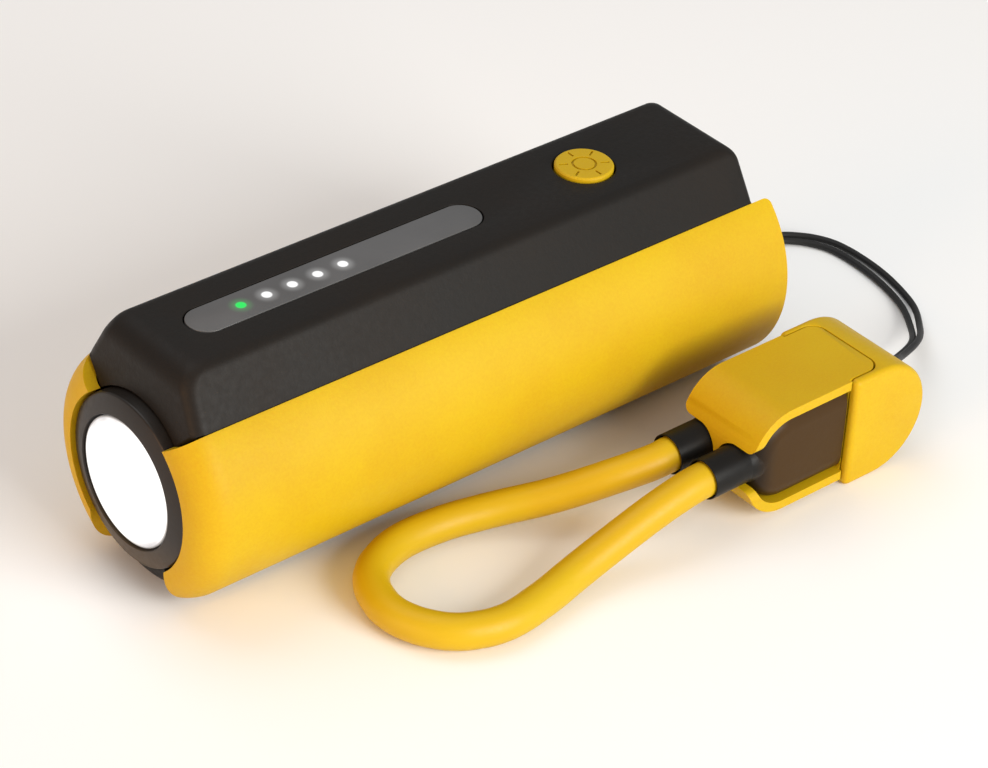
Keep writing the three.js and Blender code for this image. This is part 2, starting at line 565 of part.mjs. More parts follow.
// Two plugs: moulded grip with its sleeve, and the metal shell that sits in the cap.
const gripShape = roundedRect(PLUG.front, plugLow, PLUG.rear, plugHigh, [PLUG.nose, PLUG.heel, PLUG.heel, PLUG.nose])
for (const [name, t, shell, wall] of [['plug_a', -PLUG_T, SHELL_A, 0.35], ['plug_b', PLUG_T, SHELL_C, 0.3]]) {
  const grip = across(gripShape, t - PLUG.thick / 2, t + PLUG.thick / 2, 0.8, 6)
  let sleeve = forward(discAt(t, plugMid, SLEEVE_R), SLEEVE_FRONT, PLUG.front + 3, 0.4, 10)
  sleeve = sleeve.subtract(forward(discAt(t, plugMid, CORD_D / 2 + GAP), SLEEVE_FRONT - 1, SLEEVE_FRONT + 1.6, 0, 8))
  addDock(`${name}_grip`, grip.add(sleeve), BLACK, 0.55)
  const s0 = PLUG.rear + 0.05
  const s1 = PLUG.rear + shell.length
  const rect = (w, h, r) => roundedRect(t - w / 2, plugMid - h / 2, t + w / 2, plugMid + h / 2, r)
  const round = name === 'plug_b' ? shell.thick / 2 - 0.05 : 0.3
  const metal = forward(rect(shell.thick, shell.height, round), s0, s1, 0, 4)
  const hollow = forward(rect(shell.thick - 2 * wall, shell.height - 2 * wall, round - wall > 0 ? round - wall : 0),
    s0 + 1, s1 + 5, 0, 4)
  addDock(`${name}_shell`, metal.subtract(hollow), STEEL, 0.25, 1)
}

// ---------------------------------------------------------------- cords
function cord(points, diameter, steps, sides) {
  const curve = new THREE.CatmullRomCurve3(points.map(([x, y, z]) => new THREE.Vector3(x, y, z)), false, 'centripetal')
  const section = new THREE.Shape()
  for (let i = 0; i < sides; i += 1) {
    const a = (Math.PI * 2 * i) / sides
    const x = (diameter / 2) * Math.cos(a)
    const y = (diameter / 2) * Math.sin(a)
    if (i === 0) section.moveTo(x, y)
    else section.lineTo(x, y)
  }
  const geometry = indexed(new THREE.ExtrudeGeometry(section, {
    steps,
    bevelEnabled: false,
    extrudePath: curve,
    curveSegments: 1,
  }))
  return outward(geometry)
}

const sleeveEnd = DOCK.x + SLEEVE_FRONT + 1.6 - GAP - 0.05
const farY = DOCK.y + PLUG_T
const nearY = DOCK.y - PLUG_T
const LIE = CORD_D / 2 + 0.2
const cableRoute = [
  [sleeveEnd, nearY, plugMid],
  [sleeveEnd - 4, nearY, plugMid - 0.3],
  [12, nearY + 0.2, 9.2],
  [4, nearY + 0.8, 6.2],
  [-4, nearY + 0.6, 4],
  [-13, nearY - 0.9, LIE],
  [-21.5, nearY - 1.6, LIE],
  [-29, nearY + 1.8, LIE],
  [-33.2, nearY + 10, LIE],
  [-30.6, farY + 10.6, LIE],
  [-23, farY + 15, LIE],
  [-13.6, farY + 15.3, LIE],
  [-4.4, farY + 12.4, 4],
  [4, farY + 7.6, 6],
  [12, farY + 2.6, 9.2],
  [sleeveEnd - 3, farY, plugMid - 0.2],
  [sleeveEnd, farY, plugMid],
]
add('cable_loop', cord(cableRoute, CORD_D, 36, 10), YELLOW, 0.4)

const eye = new THREE.Vector3(CAP.straight + 8.9, 0, EYE_H).applyMatrix4(dockPlace)
const pinX = FRONT + panelFace
const GROUND = LANYARD_D / 2 + 0.15
for (const [name, side] of [['lanyard_strand_1', 1], ['lanyard_strand_2', -1]]) {
  const o = side * 0.8
  const route = [
    [pinX + 0.3, o * 1.4, AXIS_Z + LANYARD_Z],
    [pinX + 4, 1.2 + o, 5.6],
    [pinX + 10, 5 + o * 1.1, 2.4],
    [79.6, 10 + o * 1.2, GROUND],
    [91.5, 13.6 + o * 1.3, GROUND],
    [98.6 + o * 1.1, 7 + o, GROUND],
    [99.6 + o * 1.4, -4, GROUND],
    [96.8 + o * 1.1, -15.6 - o * 0.8, GROUND],
    [91 + o * 0.7, -23.6 - o * 0.6, GROUND + 1.5 + o * 0.35],
    [83.4 + o * 0.5, -30.4 - o * 0.5, 5.8 + o * 0.45],
    [eye.x + 8 + o * 0.4, eye.y + 3.2 - o * 0.55, 9.4 + o * 0.5],
    [eye.x + 2.5, eye.y - o * 0.6, EYE_H + o * 0.6],
    [eye.x - 0.6, eye.y - o * 0.6, EYE_H + o * 0.6],
  ]
  add(name, cord(route, LANYARD_D, 36, 8), 0x1c1c1c, 0.7)
}

export default part
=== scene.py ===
"""Hand-held jump starter pack with a torch, and its docked charging cable.

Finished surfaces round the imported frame. Shapes are worked out in millimetres and built in metres.
"""

import math
from contextlib import contextmanager

import bmesh
import bpy
import numpy as np
from bpy.props import FloatProperty, FloatVectorProperty, IntProperty, PointerProperty
from bpy.types import Operator, Panel, PropertyGroup
from mathutils import Matrix, Vector


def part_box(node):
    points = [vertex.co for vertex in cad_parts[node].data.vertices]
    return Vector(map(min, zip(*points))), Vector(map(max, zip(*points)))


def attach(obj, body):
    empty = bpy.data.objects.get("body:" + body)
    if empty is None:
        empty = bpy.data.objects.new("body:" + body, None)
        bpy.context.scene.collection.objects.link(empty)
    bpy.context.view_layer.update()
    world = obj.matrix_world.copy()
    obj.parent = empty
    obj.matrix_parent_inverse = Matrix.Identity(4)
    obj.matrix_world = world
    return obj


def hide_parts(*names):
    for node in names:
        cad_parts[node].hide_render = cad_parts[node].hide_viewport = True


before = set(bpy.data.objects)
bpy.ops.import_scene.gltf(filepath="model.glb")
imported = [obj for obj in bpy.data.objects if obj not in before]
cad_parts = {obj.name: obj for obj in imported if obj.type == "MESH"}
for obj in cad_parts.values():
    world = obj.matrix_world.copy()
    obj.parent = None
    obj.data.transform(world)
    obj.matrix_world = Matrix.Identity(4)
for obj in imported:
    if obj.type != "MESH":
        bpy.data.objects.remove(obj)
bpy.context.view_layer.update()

bl_info = {
    "name": "Jump starter pack",
    "version": (1, 0, 0),
    "blender": (4, 5, 0),
    "location": "3D View > Sidebar > Starter pack",
    "description": "Builds the visible surfaces of a torch-shaped jump starter pack and its docked cable",
    "category": "Object",
}

# Each node's slot, noted before the frame's plain materials are removed
NODE_SLOTS = {name: node.data.materials[0].name.split(".")[0] for name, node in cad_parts.items()}
for given in list(bpy.data.materials):
    bpy.data.materials.remove(given)
MM = 0.001
QUARTER = math.pi / 2
DONE = {"FINISHED"}


# Datums, read from the frame, in millimetres
def low(node):
    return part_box(node)[0] / MM


def high(node):
    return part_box(node)[1] / MM


def middle(node):
    return (low(node) + high(node)) / 2


LENS_PLANE = low("bezel").x
AXIS_Z = middle("bezel").z
BEZEL_R = high("bezel").y
COVER_R = high("left_cover").y
COVER_FRONT = low("left_cover").x - LENS_PLANE
PACK_REAR = high("left_cover").x - LENS_PLANE
RAIL_TOP = high("top_rail").z - AXIS_Z
RAIL_FRONT = low("top_rail").x - LENS_PLANE
RAIL_REAR = high("top_rail").x - LENS_PLANE
RAIL_FOOT_HALF = high("top_rail").y
BUTTON_X = middle("power_button").x - LENS_PLANE
BUTTON_TOP = high("power_button").z - AXIS_Z
PANEL_FRONT = low("rear_panel").x - LENS_PLANE
PANEL_FACE = high("rear_panel").x - LENS_PLANE
PANEL_R = high("rear_panel").y
DOCK_S = low("dock_cap").x
DOCK_T = middle("dock_cap").y
CAP_HALF = high("dock_cap").y - DOCK_T
CAP_TOP = high("dock_cap").z
PLUG_MID = middle("plug_a_grip").z
PLUG_A_T = middle("plug_a_grip").y - DOCK_T
PLUG_B_T = middle("plug_b_grip").y - DOCK_T


# Sizes and colours a user may change
def length_setting(name, description, default, least, most):
    """A length that is given in millimetres and kept in metres."""
    return FloatProperty(name=name, description=description, default=default * MM, min=least * MM, max=most * MM,
                         unit="LENGTH", subtype="DISTANCE")


def count_setting(name, description, default, least, most):
    return IntProperty(name=name, description=description, default=default, min=least, max=most)


def colour_setting(name, description, default):
    return FloatVectorProperty(name=name, description=description, default=default, subtype="COLOR", min=0, max=1)


class PackSizes(PropertyGroup):
    """Sizes of the pack and its dock, in metres."""

    cover_thickness: length_setting("Cover thickness", "Wall of the side covers", 2.2, 1, 3)
    cover_curl: length_setting("Cover curl", "How far the front edge of the covers turns in", 5.9, 3, 8)
    cover_curl_length: length_setting("Curl length", "Length of the turned-in edge along the pack", 5.8, 2, 8)
    cover_edge: length_setting("Cover edge rounding", "Rounding of the covers' edges", 0.55, 0.1, 1)
    rail_rounding: length_setting("Rail rounding", "Rounding of the rail's top edges", 2.6, 1, 4)
    cable_diameter: length_setting("Cable diameter", "Outer diameter of the charging cable", 5.9, 3, 8)
    lanyard_diameter: length_setting("Lanyard diameter", "Diameter of one lanyard strand", 1.2, 0.5, 3)
    lamp_count: count_setting("Charge lamps", "Number of lamps behind the window", 5, 1, 5)
    ray_count: count_setting("Sun rays", "Number of rays round the mark on the button", 6, 3, 12)


class PackColours(PropertyGroup):
    """Colours of the main finishes, as linear RGB."""

    cover: colour_setting("Covers", "Moulded yellow of the covers, button and dock", (0.56, 0.372, 0.0048))
    cable: colour_setting("Cable", "Satin yellow of the cable jacket", (0.575, 0.375, 0.005))
    rail: colour_setting("Rail", "Warm black of the rail, bezel and grips", (0.0108, 0.0102, 0.0095))
    window: colour_setting("Window", "Smoky grey of the indicator window", (0.098, 0.098, 0.1))
    charged: colour_setting("First lamp", "Colour of the first charge lamp", (0.012, 0.80, 0.11))
    floor: colour_setting("Floor", "Colour of the plain floor", (0.95, 0.95, 0.95))


def sizes():
    return bpy.context.scene.starter_pack_sizes


def colours():
    return bpy.context.scene.starter_pack_colours


# Flat outlines, as N x 2 arrays turning left
def arc(cx, cy, r, start, end, points):
    return [(cx + r * math.cos(a), cy + r * math.sin(a)) for a in np.linspace(start, end, points)]


def rounded(a0, b0, a1, b1, radii, points=9):
    """Rectangle with corners rounded in the order low-low, high-low, high-high, low-high."""
    if not hasattr(radii, "__len__"):
        radii = [radii] * 4
    ll, lr, ur, ul = [max(r, 1e-4) for r in radii]
    return np.array(
        arc(a0 + ll, b0 + ll, ll, math.pi, 1.5 * math.pi, points)
        + arc(a1 - lr, b0 + lr, lr, -QUARTER, 0, points)
        + arc(a1 - ur, b1 - ur, ur, 0, QUARTER, points)
        + arc(a0 + ul, b1 - ul, ul, QUARTER, math.pi, points))


def centred(a, b, half_a, half_b, radii, points=9):
    """Rounded rectangle by its middle and half sizes."""
    return rounded(a - half_a, b - half_b, a + half_a, b + half_b, radii, points)


def circle(a, b, r, points=64):
    turns = [2 * math.pi * i / points for i in range(points)]
    return np.array([(a + r * math.cos(t), b + r * math.sin(t)) for t in turns])


def inset(outline, distance):
    """The outline moved inwards, or outwards if distance is negative."""
    before = outline - np.roll(outline, 1, axis=0)
    after = np.roll(outline, -1, axis=0) - outline
    for edge in (before, after):
        edge /= np.maximum(np.linalg.norm(edge, axis=1), 1e-9)[:, None]
    first = np.stack([-before[:, 1], before[:, 0]], 1)
    second = np.stack([-after[:, 1], after[:, 0]], 1)
    mitre = first + second
    mitre /= np.maximum(np.linalg.norm(mitre, axis=1), 1e-9)[:, None]
    reach = distance / np.maximum((mitre * first).sum(1), 0.3)
    return outline + mitre * reach[:, None]


# Places: (a, b, c) of a shape to millimetres in the frame
def along_pack(a, b, c):
    """a across, b above the axis, c from the lens."""
    return (LENS_PLANE + c, a, AXIS_Z + b)


def above_pack(a, b, c):
    """a from the lens, b across, c above the axis."""
    return (LENS_PLANE + a, b, AXIS_Z + c)


def across_dock(a, b, c):
    """a along the dock, b height, c across it."""
    return (DOCK_S + a, DOCK_T + c, b)


def above_dock(a, b, c):
    """a along the dock, b across it, c height."""
    return (DOCK_S + a, DOCK_T + b, c)


def along_dock(a, b, c):
    """a across the dock, b height, c along it."""
    return (DOCK_S + c, DOCK_T + a, b)


# Meshes
@contextmanager
def reworked(mesh):
    """A mesh opened for changes, which are written back at the end."""
    work = bmesh.new()
    work.from_mesh(mesh)
    yield work
    work.to_mesh(mesh)
    work.free()


def shown(name, data):
    """New object in the scene."""
    piece = bpy.data.objects.new(name, data)
    bpy.context.scene.collection.objects.link(piece)
    return piece


def new_piece(name, points, faces):
    mesh = bpy.data.meshes.new(name)
    mesh.from_pydata([tuple(c * MM for c in p) for p in points], [], faces)
    with reworked(mesh) as work:
        bmesh.ops.remove_doubles(work, verts=work.verts, dist=1e-7)
        bmesh.ops.recalc_face_normals(work, faces=work.faces)
    return shown(name, mesh)


def loft(name, rings, closed=True):
    """Closed solid through rings of equally many points, capped at both ends, or joined end to end."""
    size, total = len(rings[0]), len(rings)
    faces = []
    for i in range(total - 1 if closed else total):
        base, other = i * size, ((i + 1) % total) * size
        for j in range(size):
            k = (j + 1) % size
            faces.append((base + j, base + k, other + k, other + j))
    if closed:
        faces += [tuple(range(size)), tuple(range((total - 1) * size, total * size))]
    return new_piece(name, [p for ring in rings for p in ring], faces)


def prism(name, outline, start, end, place, round_start=0.0, round_end=0.0, steps=5):
    """Outline raised from start to end. Positive rounding softens an end; negative flares it, for a cutter."""
    def rim(rounding):
        """(inset, way in from the end) of each ring at an end."""
        if not rounding:
            return [(0.0, 0.0)]
        flare = [(rounding, -1.0)] if rounding < 0 else []
        turns = [QUARTER * i / steps for i in range(steps + 1)]
        return flare + [(rounding * (1 - math.sin(t)), abs(rounding) * (1 - math.cos(t))) for t in turns]

    levels = [(d, start + way) for d, way in rim(round_start)]
    levels += [(d, end - way) for d, way in reversed(rim(round_end))]
    return loft(name, [[place(a, b, c) for a, b in (inset(outline, d) if d else outline)] for d, c in levels])


def turned(name, profile, place, sides=128):
    """Closed profile of (along, radius) turned round a place's c axis."""
    turns = [2 * math.pi * i / sides for i in range(sides)]
    rings = [[place(r * math.cos(t), r * math.sin(t), c) for c, r in profile] for t in turns]
    return loft(name, rings, closed=False)


def soft_corner(before, corner, after, radius, steps=4):
    """Points that round the corner of a profile."""
    before, corner, after = (np.array(p, float) for p in (before, corner, after))
    to_before = (before - corner) / np.linalg.norm(before - corner)
    to_after = (after - corner) / np.linalg.norm(after - corner)
    half = math.acos(max(-1, min(1, float(to_before @ to_after)))) / 2
    reach = radius / math.tan(half)
    bisector = to_before + to_after
    centre = corner + bisector / np.linalg.norm(bisector) * radius / math.sin(half)
    start = corner + to_before * reach - centre
    end = corner + to_after * reach - centre
    total = math.atan2(start[0] * end[1] - start[1] * end[0], float(start @ end))
    result = []
    for i in range(steps + 1):
        cos, sin = math.cos(total * i / steps), math.sin(total * i / steps)
        result.append(tuple(centre + (start[0] * cos - start[1] * sin, start[0] * sin + start[1] * cos)))
    return result


def soft_profile(corners):
    """Closed profile from (along, radius, rounding) corners."""
    result = []
    for i, (c, r, rounding) in enumerate(corners):
        if rounding:
            result += soft_corner(corners[i - 1][:2], (c, r), corners[(i + 1) % len(corners)][:2], rounding)
        else:
            result.append((c, r))
    return result


def settle(piece):
    """Applies a piece's modifiers to its mesh."""
    bpy.context.view_layer.update()
    shape = bpy.data.meshes.new_from_object(piece.evaluated_get(bpy.context.evaluated_depsgraph_get()))
    old = piece.data
    shape.name = piece.name
    piece.modifiers.clear()
    piece.data = shape
    bpy.data.meshes.remove(old)
    return piece


def carve(piece, *tools, operation="DIFFERENCE"):
    """Cuts the tools out of a piece, joins them to it, or keeps what they share, and removes them."""
    for tool in tools:
        cut = piece.modifiers.new(operation.lower(), "BOOLEAN")
        cut.operation = operation
        cut.solver = "EXACT"
        cut.object = tool
        settle(piece)
        shape = tool.data
        bpy.data.objects.remove(tool)
        bpy.data.meshes.remove(shape)
    return piece


def clean(piece, crease=38):
    """Merges doubles, drops specks and sets which edges stay sharp."""
    with reworked(piece.data) as work:
        bmesh.ops.remove_doubles(work, verts=work.verts, dist=2e-6)
        bmesh.ops.dissolve_degenerate(work, edges=work.edges, dist=1e-6)
    piece.data.polygons.foreach_set("use_smooth", [True] * len(piece.data.polygons))
    piece.data.set_sharp_from_angle(angle=math.radians(crease))
    return piece


def round_edges(piece, width, crease, segments):
    """Adds a bevel over the edges sharper than the crease angle, with a width in metres."""
    bevel = piece.modifiers.new("edges", "BEVEL")
    bevel.width = width
    bevel.segments = segments
    bevel.limit_method = "ANGLE"
    bevel.angle_limit = math.radians(crease)


def place_piece(piece, body, slot, *nodes):
    """Dresses a finished piece and puts it on its body."""
    piece.data.materials.clear()
    piece.data.materials.append(FINISHES[slot])
    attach(piece, body)
    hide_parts(*nodes)


# Node trees
class Term:
    """A value in a node tree that takes plain arithmetic."""

    def __init__(self, wiring, socket):
        self.wiring, self.socket = wiring, socket

    def __add__(self, other):
        return self.wiring.math("ADD", self, other)

    def __sub__(self, other):
        return self.wiring.math("SUBTRACT", self, other)

    def __rsub__(self, other):
        return self.wiring.math("SUBTRACT", other, self)

    def __mul__(self, other):
        return self.wiring.math("MULTIPLY", self, other)

    def __truediv__(self, other):
        return self.wiring.math("DIVIDE", self, other)

    def __rtruediv__(self, other):
        return self.wiring.math("DIVIDE", other, self)


class Wiring:
    """Short calls for adding and linking nodes. Any input takes a term, a socket or a plain value."""

    def __init__(self, tree):
        self.tree = tree

    def node(self, kind, feeds=None, **settings):
        made = self.tree.nodes.new(kind)
        for name, value in settings.items():
            setattr(made, name, value)
        self.fill(made, feeds or {})
        return made

    def fill(self, node, feeds):
        for key, value in feeds.items():
            if isinstance(value, Term):
                value = value.socket
            if isinstance(value, bpy.types.NodeSocket):
                self.tree.links.new(value, node.inputs[key])
            else:
                node.inputs[key].default_value = value

    def read(self, node, output=0):
        return Term(self, node.outputs[output])

    def split(self, vector):
        parts = self.node("ShaderNodeSeparateXYZ", {0: vector})
        return [self.read(parts, axis) for axis in range(3)]

    def join(self, x=0.0, y=0.0, z=0.0):
        return self.read(self.node("ShaderNodeCombineXYZ", {0: x, 1: y, 2: z}))

    def math(self, operation, *values, clamp=False):
        return self.read(self.node("ShaderNodeMath", dict(enumerate(values)), operation=operation, use_clamp=clamp))

    def ranged(self, value, from_low, from_high, to_low, to_high, smooth=False):
        feeds = dict(enumerate((value, from_low, from_high, to_low, to_high)))
        kind = "SMOOTHSTEP" if smooth else "LINEAR"
        return self.read(self.node("ShaderNodeMapRange", feeds, interpolation_type=kind))

    def spread(self, value, to_low, to_high, smooth=False):
        """The usual span of a noise, stretched to two values."""
        return self.ranged(value, 0.3, 0.7, to_low, to_high, smooth)

    def noise(self, vector, scale, detail=2.0, roughness=0.5):
        feeds = {"Vector": vector, "Scale": scale, "Detail": detail, "Roughness": roughness}
        return self.read(self.node("ShaderNodeTexNoise", feeds, noise_dimensions="3D"), "Fac")

    def mix(self, factor, first, second, blend="MIX"):
        feeds = {0: factor, 6: first, 7: second}
        return self.read(self.node("ShaderNodeMix", feeds, data_type="RGBA", blend_type=blend), 2)

    def bump(self, shader, height, strength, distance):
        made = self.node("ShaderNodeBump", {"Strength": strength, "Distance": distance, "Height": height})
        self.fill(shader, {"Normal": made.outputs["Normal"]})


SOCKET_KINDS = {float: "NodeSocketFloat", int: "NodeSocketInt", tuple: "NodeSocketVector"}


def geometry_tree(name, inputs):
    """Geometry tree with named inputs and their first values. Returns the tree, its wiring, the inputs as terms,
    and their identifiers by name."""
    tree = bpy.data.node_groups.new(name, "GeometryNodeTree")
    keys = {}
    for label, value in inputs.items():
        socket = tree.interface.new_socket(name=label, in_out="INPUT", socket_type=SOCKET_KINDS[type(value)])
        socket.default_value = value
        keys[label] = socket.identifier
    tree.interface.new_socket(name="Geometry", in_out="OUTPUT", socket_type="NodeSocketGeometry")
    wiring = Wiring(tree)
    source = wiring.node("NodeGroupInput")
    return tree, wiring, [Term(wiring, s) for s in source.outputs if s.name], keys


def end_tree(wiring, geometry, material):
    """Closes a geometry tree with Realize Instances and Set Material."""
    whole = wiring.node("GeometryNodeRealizeInstances", {"Geometry": geometry})
    dressed = wiring.node("GeometryNodeSetMaterial", {"Geometry": whole.outputs["Geometry"], "Material": material})
    wiring.node("NodeGroupOutput", {"Geometry": dressed.outputs["Geometry"]})


def grow(name, tree, keys, values):
    """Plain mesh object made by a geometry tree with the given named inputs."""
    piece = bpy.data.objects.new(name, bpy.data.meshes.new(name + "_seed"))
    modifier = piece.modifiers.new("grow", "NODES")
    modifier.node_group = tree
    for label, value in values.items():
        modifier[keys[label]] = value
    bpy.context.scene.collection.objects.link(piece)
    return settle(piece)


# Finishes
FINISHES = {}
BLACK, WHITE = (0, 0, 0, 1), (1, 1, 1, 1)


def finish_tree(name):
    """New finish. Returns its wiring, its shader and the object coordinates."""
    material = FINISHES[name] = bpy.data.materials.new(name)
    material.use_nodes = True
    material.node_tree.nodes.clear()
    w = Wiring(material.node_tree)
    shader = w.node("ShaderNodeBsdfPrincipled")
    w.node("ShaderNodeOutputMaterial", {"Surface": shader.outputs["BSDF"]})
    coordinates = w.node("ShaderNodeTexCoord")
    return w, shader, w.node("ShaderNodeMapping", {"Vector": coordinates.outputs["Object"]}).outputs["Vector"]


def shade(colour, factor=1.0):
    """Colour with an alpha of one, made lighter or darker."""
    return tuple(min(1.0, c * factor) for c in colour[:3]) + (1.0,)


def moulded(name, colour, roughness=0.45, grain=2600, height=0.00004, strength=0.25, deep=None,
            specular=0.5, subsurface=0.0, metallic=0.0):
    """Moulded plastic: fine spark-eroded grain, slow drift of colour and gloss."""
    w, shader, vector = finish_tree(name)
    slow = w.noise(vector, 38, 3.0, 0.55)
    fine = w.noise(vector, grain, 3.0, 0.6)
    speck = w.noise(vector, grain * 0.42, 1.0, 0.4)
    drift = w.spread(slow, 0.0, 0.5, smooth=True)
    amount = w.math("ADD", drift, w.ranged(fine, 0.35, 0.68, 0.0, 0.34), clamp=True)
    gloss = w.spread(slow, roughness - 0.04, roughness + 0.05)
    w.fill(shader, {
        "Base Color": w.mix(amount, shade(colour, 1.04), shade(deep) if deep else shade(colour, 0.86)),
        "Roughness": w.math("ADD", gloss, w.spread(speck, -0.03, 0.04), clamp=True),
        "Specular IOR Level": specular, "Metallic": metallic})
    w.bump(shader, fine + speck * 0.6, strength, height)
    if subsurface:
        w.fill(shader, {"Subsurface Weight": subsurface, "Subsurface Radius": (1.0, 0.35, 0.05),
                        "Subsurface Scale": 0.0012})


def paint_warm_reflection(name, axis, start, end, colour):
    """Paints a warm reflection on a moulded finish: its colour drifts to another along one axis of the part, between
    two millimetre marks.
    """
    w = Wiring(FINISHES[name].node_tree)
    nodes = {node.type: node for node in w.tree.nodes}
    shader = nodes["BSDF_PRINCIPLED"]
    plain = shader.inputs["Base Color"].links[0].from_socket
    place = w.split(nodes["TEX_COORD"].outputs["Object"])["XYZ".index(axis)]
    # How much of the painted warm reflection lies over the plain colour at each place.
    reflection_amount = w.ranged(place, start * MM, end * MM, 0.0, 1.0, smooth=True)
    w.fill(shader, {"Base Color": w.mix(reflection_amount, plain, shade(colour))})


def metal(name, colour, roughness, stretch=(1, 1, 1), scale=900, anisotropic=0.0, dull=None):
    """Metal with drawn or turned marks along one direction and a faint cloudiness."""
    w, shader, vector = finish_tree(name)
    brushed = w.node("ShaderNodeMapping", {"Scale": stretch, "Vector": vector})
    marks = w.noise(brushed.outputs["Vector"], scale, 4.0, 0.6)
    cloud = w.spread(w.noise(vector, 120), 0.0, 0.8, smooth=True)
    w.fill(shader, {
        "Metallic": 1.0, "Anisotropic": anisotropic,
        "Base Color": w.mix(cloud, shade(colour), shade(dull) if dull else shade(colour, 0.78)),
        "Roughness": w.ranged(marks, 0.25, 0.75, roughness - 0.06, roughness + 0.1)})
    w.bump(shader, marks, 0.2, 0.00002)


def window_finish(lamp_xs, lamp_y, colour, first):
    """Smoky window with the glow of the lamps under it: a bright core and a soft halo for each."""
    w, shader, vector = finish_tree("smoky_window")
    slow, fine = w.noise(vector, 60), w.noise(vector, 3200)
    base = w.mix(w.spread(slow, 0, 1, smooth=True), shade(colour, 1.12), shade(colour, 0.82))
    x, y, _ = w.split(vector)
    across = y - lamp_y
    across = across * across
    cores, glows = [], []
    for lamp_x in lamp_xs:
        along = x - lamp_x
        reach = w.math("SQRT", along * along + across)
        cores.append(w.ranged(reach, 0.62 * MM, 1.02 * MM, 1.0, 0.0, smooth=True))
        glows.append(cores[-1] + w.ranged(reach, 0.8 * MM, 2.3 * MM, 0.14, 0.0, smooth=True))
    covered = sum(cores[1:], start=cores[0])
    light = w.mix(glows[0], BLACK, shade(first))
    if len(glows) > 1:
        light = w.mix(1.0, light, w.mix(sum(glows[2:], start=glows[1]), BLACK, WHITE), blend="ADD")
    w.fill(shader, {
        "Base Color": w.mix(covered, base, (0.004, 0.004, 0.004, 1)), "Emission Color": light,
        "Emission Strength": 1.05, "Roughness": w.spread(slow, 0.3, 0.42)})
    w.bump(shader, fine, 0.12, 0.00002)


def lens_finish():
    """Lit torch lens: white glow with painted grey crescents of reflection and a dark hairline at the rim, and faint
    moulding rings.
    """
    w, shader, vector = finish_tree("torch_lens")
    centre = w.node("ShaderNodeMapping", {"Location": (0, 0, -AXIS_Z * MM), "Vector": vector})
    _, y, z = w.split(centre.outputs["Vector"])
    radius = w.math("SQRT", y * y + z * z)
    rings = w.math("SINE", radius * (2 * math.pi / (0.7 * MM)))
    cloud = w.noise(vector, 150)
    slant = w.math("ABSOLUTE", y * 0.55 + z * 0.83) / w.math("MAXIMUM", radius, 0.1 * MM)
    # Painted reflection: grey crescents near the rim at the upper left and lower right, standing in for reflections
    # on the glass.
    reflection_crescent = (w.ranged(radius, 9.0 * MM, 10.5 * MM, 0.0, 1.0, smooth=True)
                * w.ranged(slant, 0.78, 0.98, 0.0, 1.0, smooth=True))
    hairline = w.ranged(radius, 10.45 * MM, 10.8 * MM, 0.0, 0.85, smooth=True)
    rim = reflection_crescent * w.ranged(cloud, 0.35, 0.65, 0.45, 1.0)
    lit = w.mix(rim, WHITE, (0.34, 0.33, 0.35, 1))
    w.fill(shader, {
        "Base Color": w.mix(rim, (0.2, 0.205, 0.21, 1), (0.05, 0.05, 0.05, 1)),
        "Emission Color": w.mix(hairline, lit, (0.02, 0.018, 0.016, 1)), "Emission Strength": 1.25,
        "Coat Weight": 1.0, "Coat Roughness": 0.03, "Roughness": w.spread(cloud, 0.06, 0.14)})
    w.bump(shader, rings, 0.05, 0.00003)


def board_finish():
    """Circuit board: green mask over a faint grid of copper tracks."""
    w, shader, vector = finish_tree("board_green")
    tracks = w.node("ShaderNodeTexBrick", {
        "Vector": vector, "Scale": 260, "Mortar Size": 0.03, "Color1": (0.012, 0.13, 0.04, 1),
        "Color2": (0.018, 0.17, 0.055, 1), "Mortar": (0.05, 0.3, 0.1, 1)})
    cloud = w.noise(vector, 300)
    w.fill(shader, {
        "Base Color": w.mix(w.spread(cloud, 0, 0.3), tracks.outputs["Color"], (0.01, 0.08, 0.03, 1)),
        "Roughness": w.spread(cloud, 0.28, 0.42)})
    w.bump(shader, tracks.outputs["Fac"], 0.3, 0.00002)


def lamp_finish(name, colour, strength):
    """Lit lamp body with a slightly cloudy lens."""
    w, shader, vector = finish_tree(name)
    cloud = w.noise(vector, 900)
    glow = w.mix(w.spread(cloud, 0, 1), shade(colour), shade(colour, 0.8))
    w.fill(shader, {"Base Color": glow, "Emission Color": glow, "Emission Strength": strength,
                    "Roughness": w.spread(cloud, 0.2, 0.3)})


def cord_finish(name, colour, dark, grain, roughness, braid=0):
    """Jacket of a cord: smooth satin, or a braid at the given scale."""
    w, shader, vector = finish_tree(name)
    slow, fine = w.noise(vector, 55), w.noise(vector, grain)
    height = fine
    if braid:
        cells = w.node("ShaderNodeTexVoronoi", {"Vector": vector, "Scale": braid}, feature="F1")
        height = fine * 0.4 + (1.0 - w.read(cells, "Distance"))
    w.fill(shader, {
        "Base Color": w.mix(w.spread(slow, 0.0, 0.6, smooth=True), shade(colour), shade(dark)),
        "Roughness": w.spread(fine, roughness - 0.05, roughness + 0.06), "Specular IOR Level": 0.28})
    w.bump(shader, height, 0.22, 0.00003)


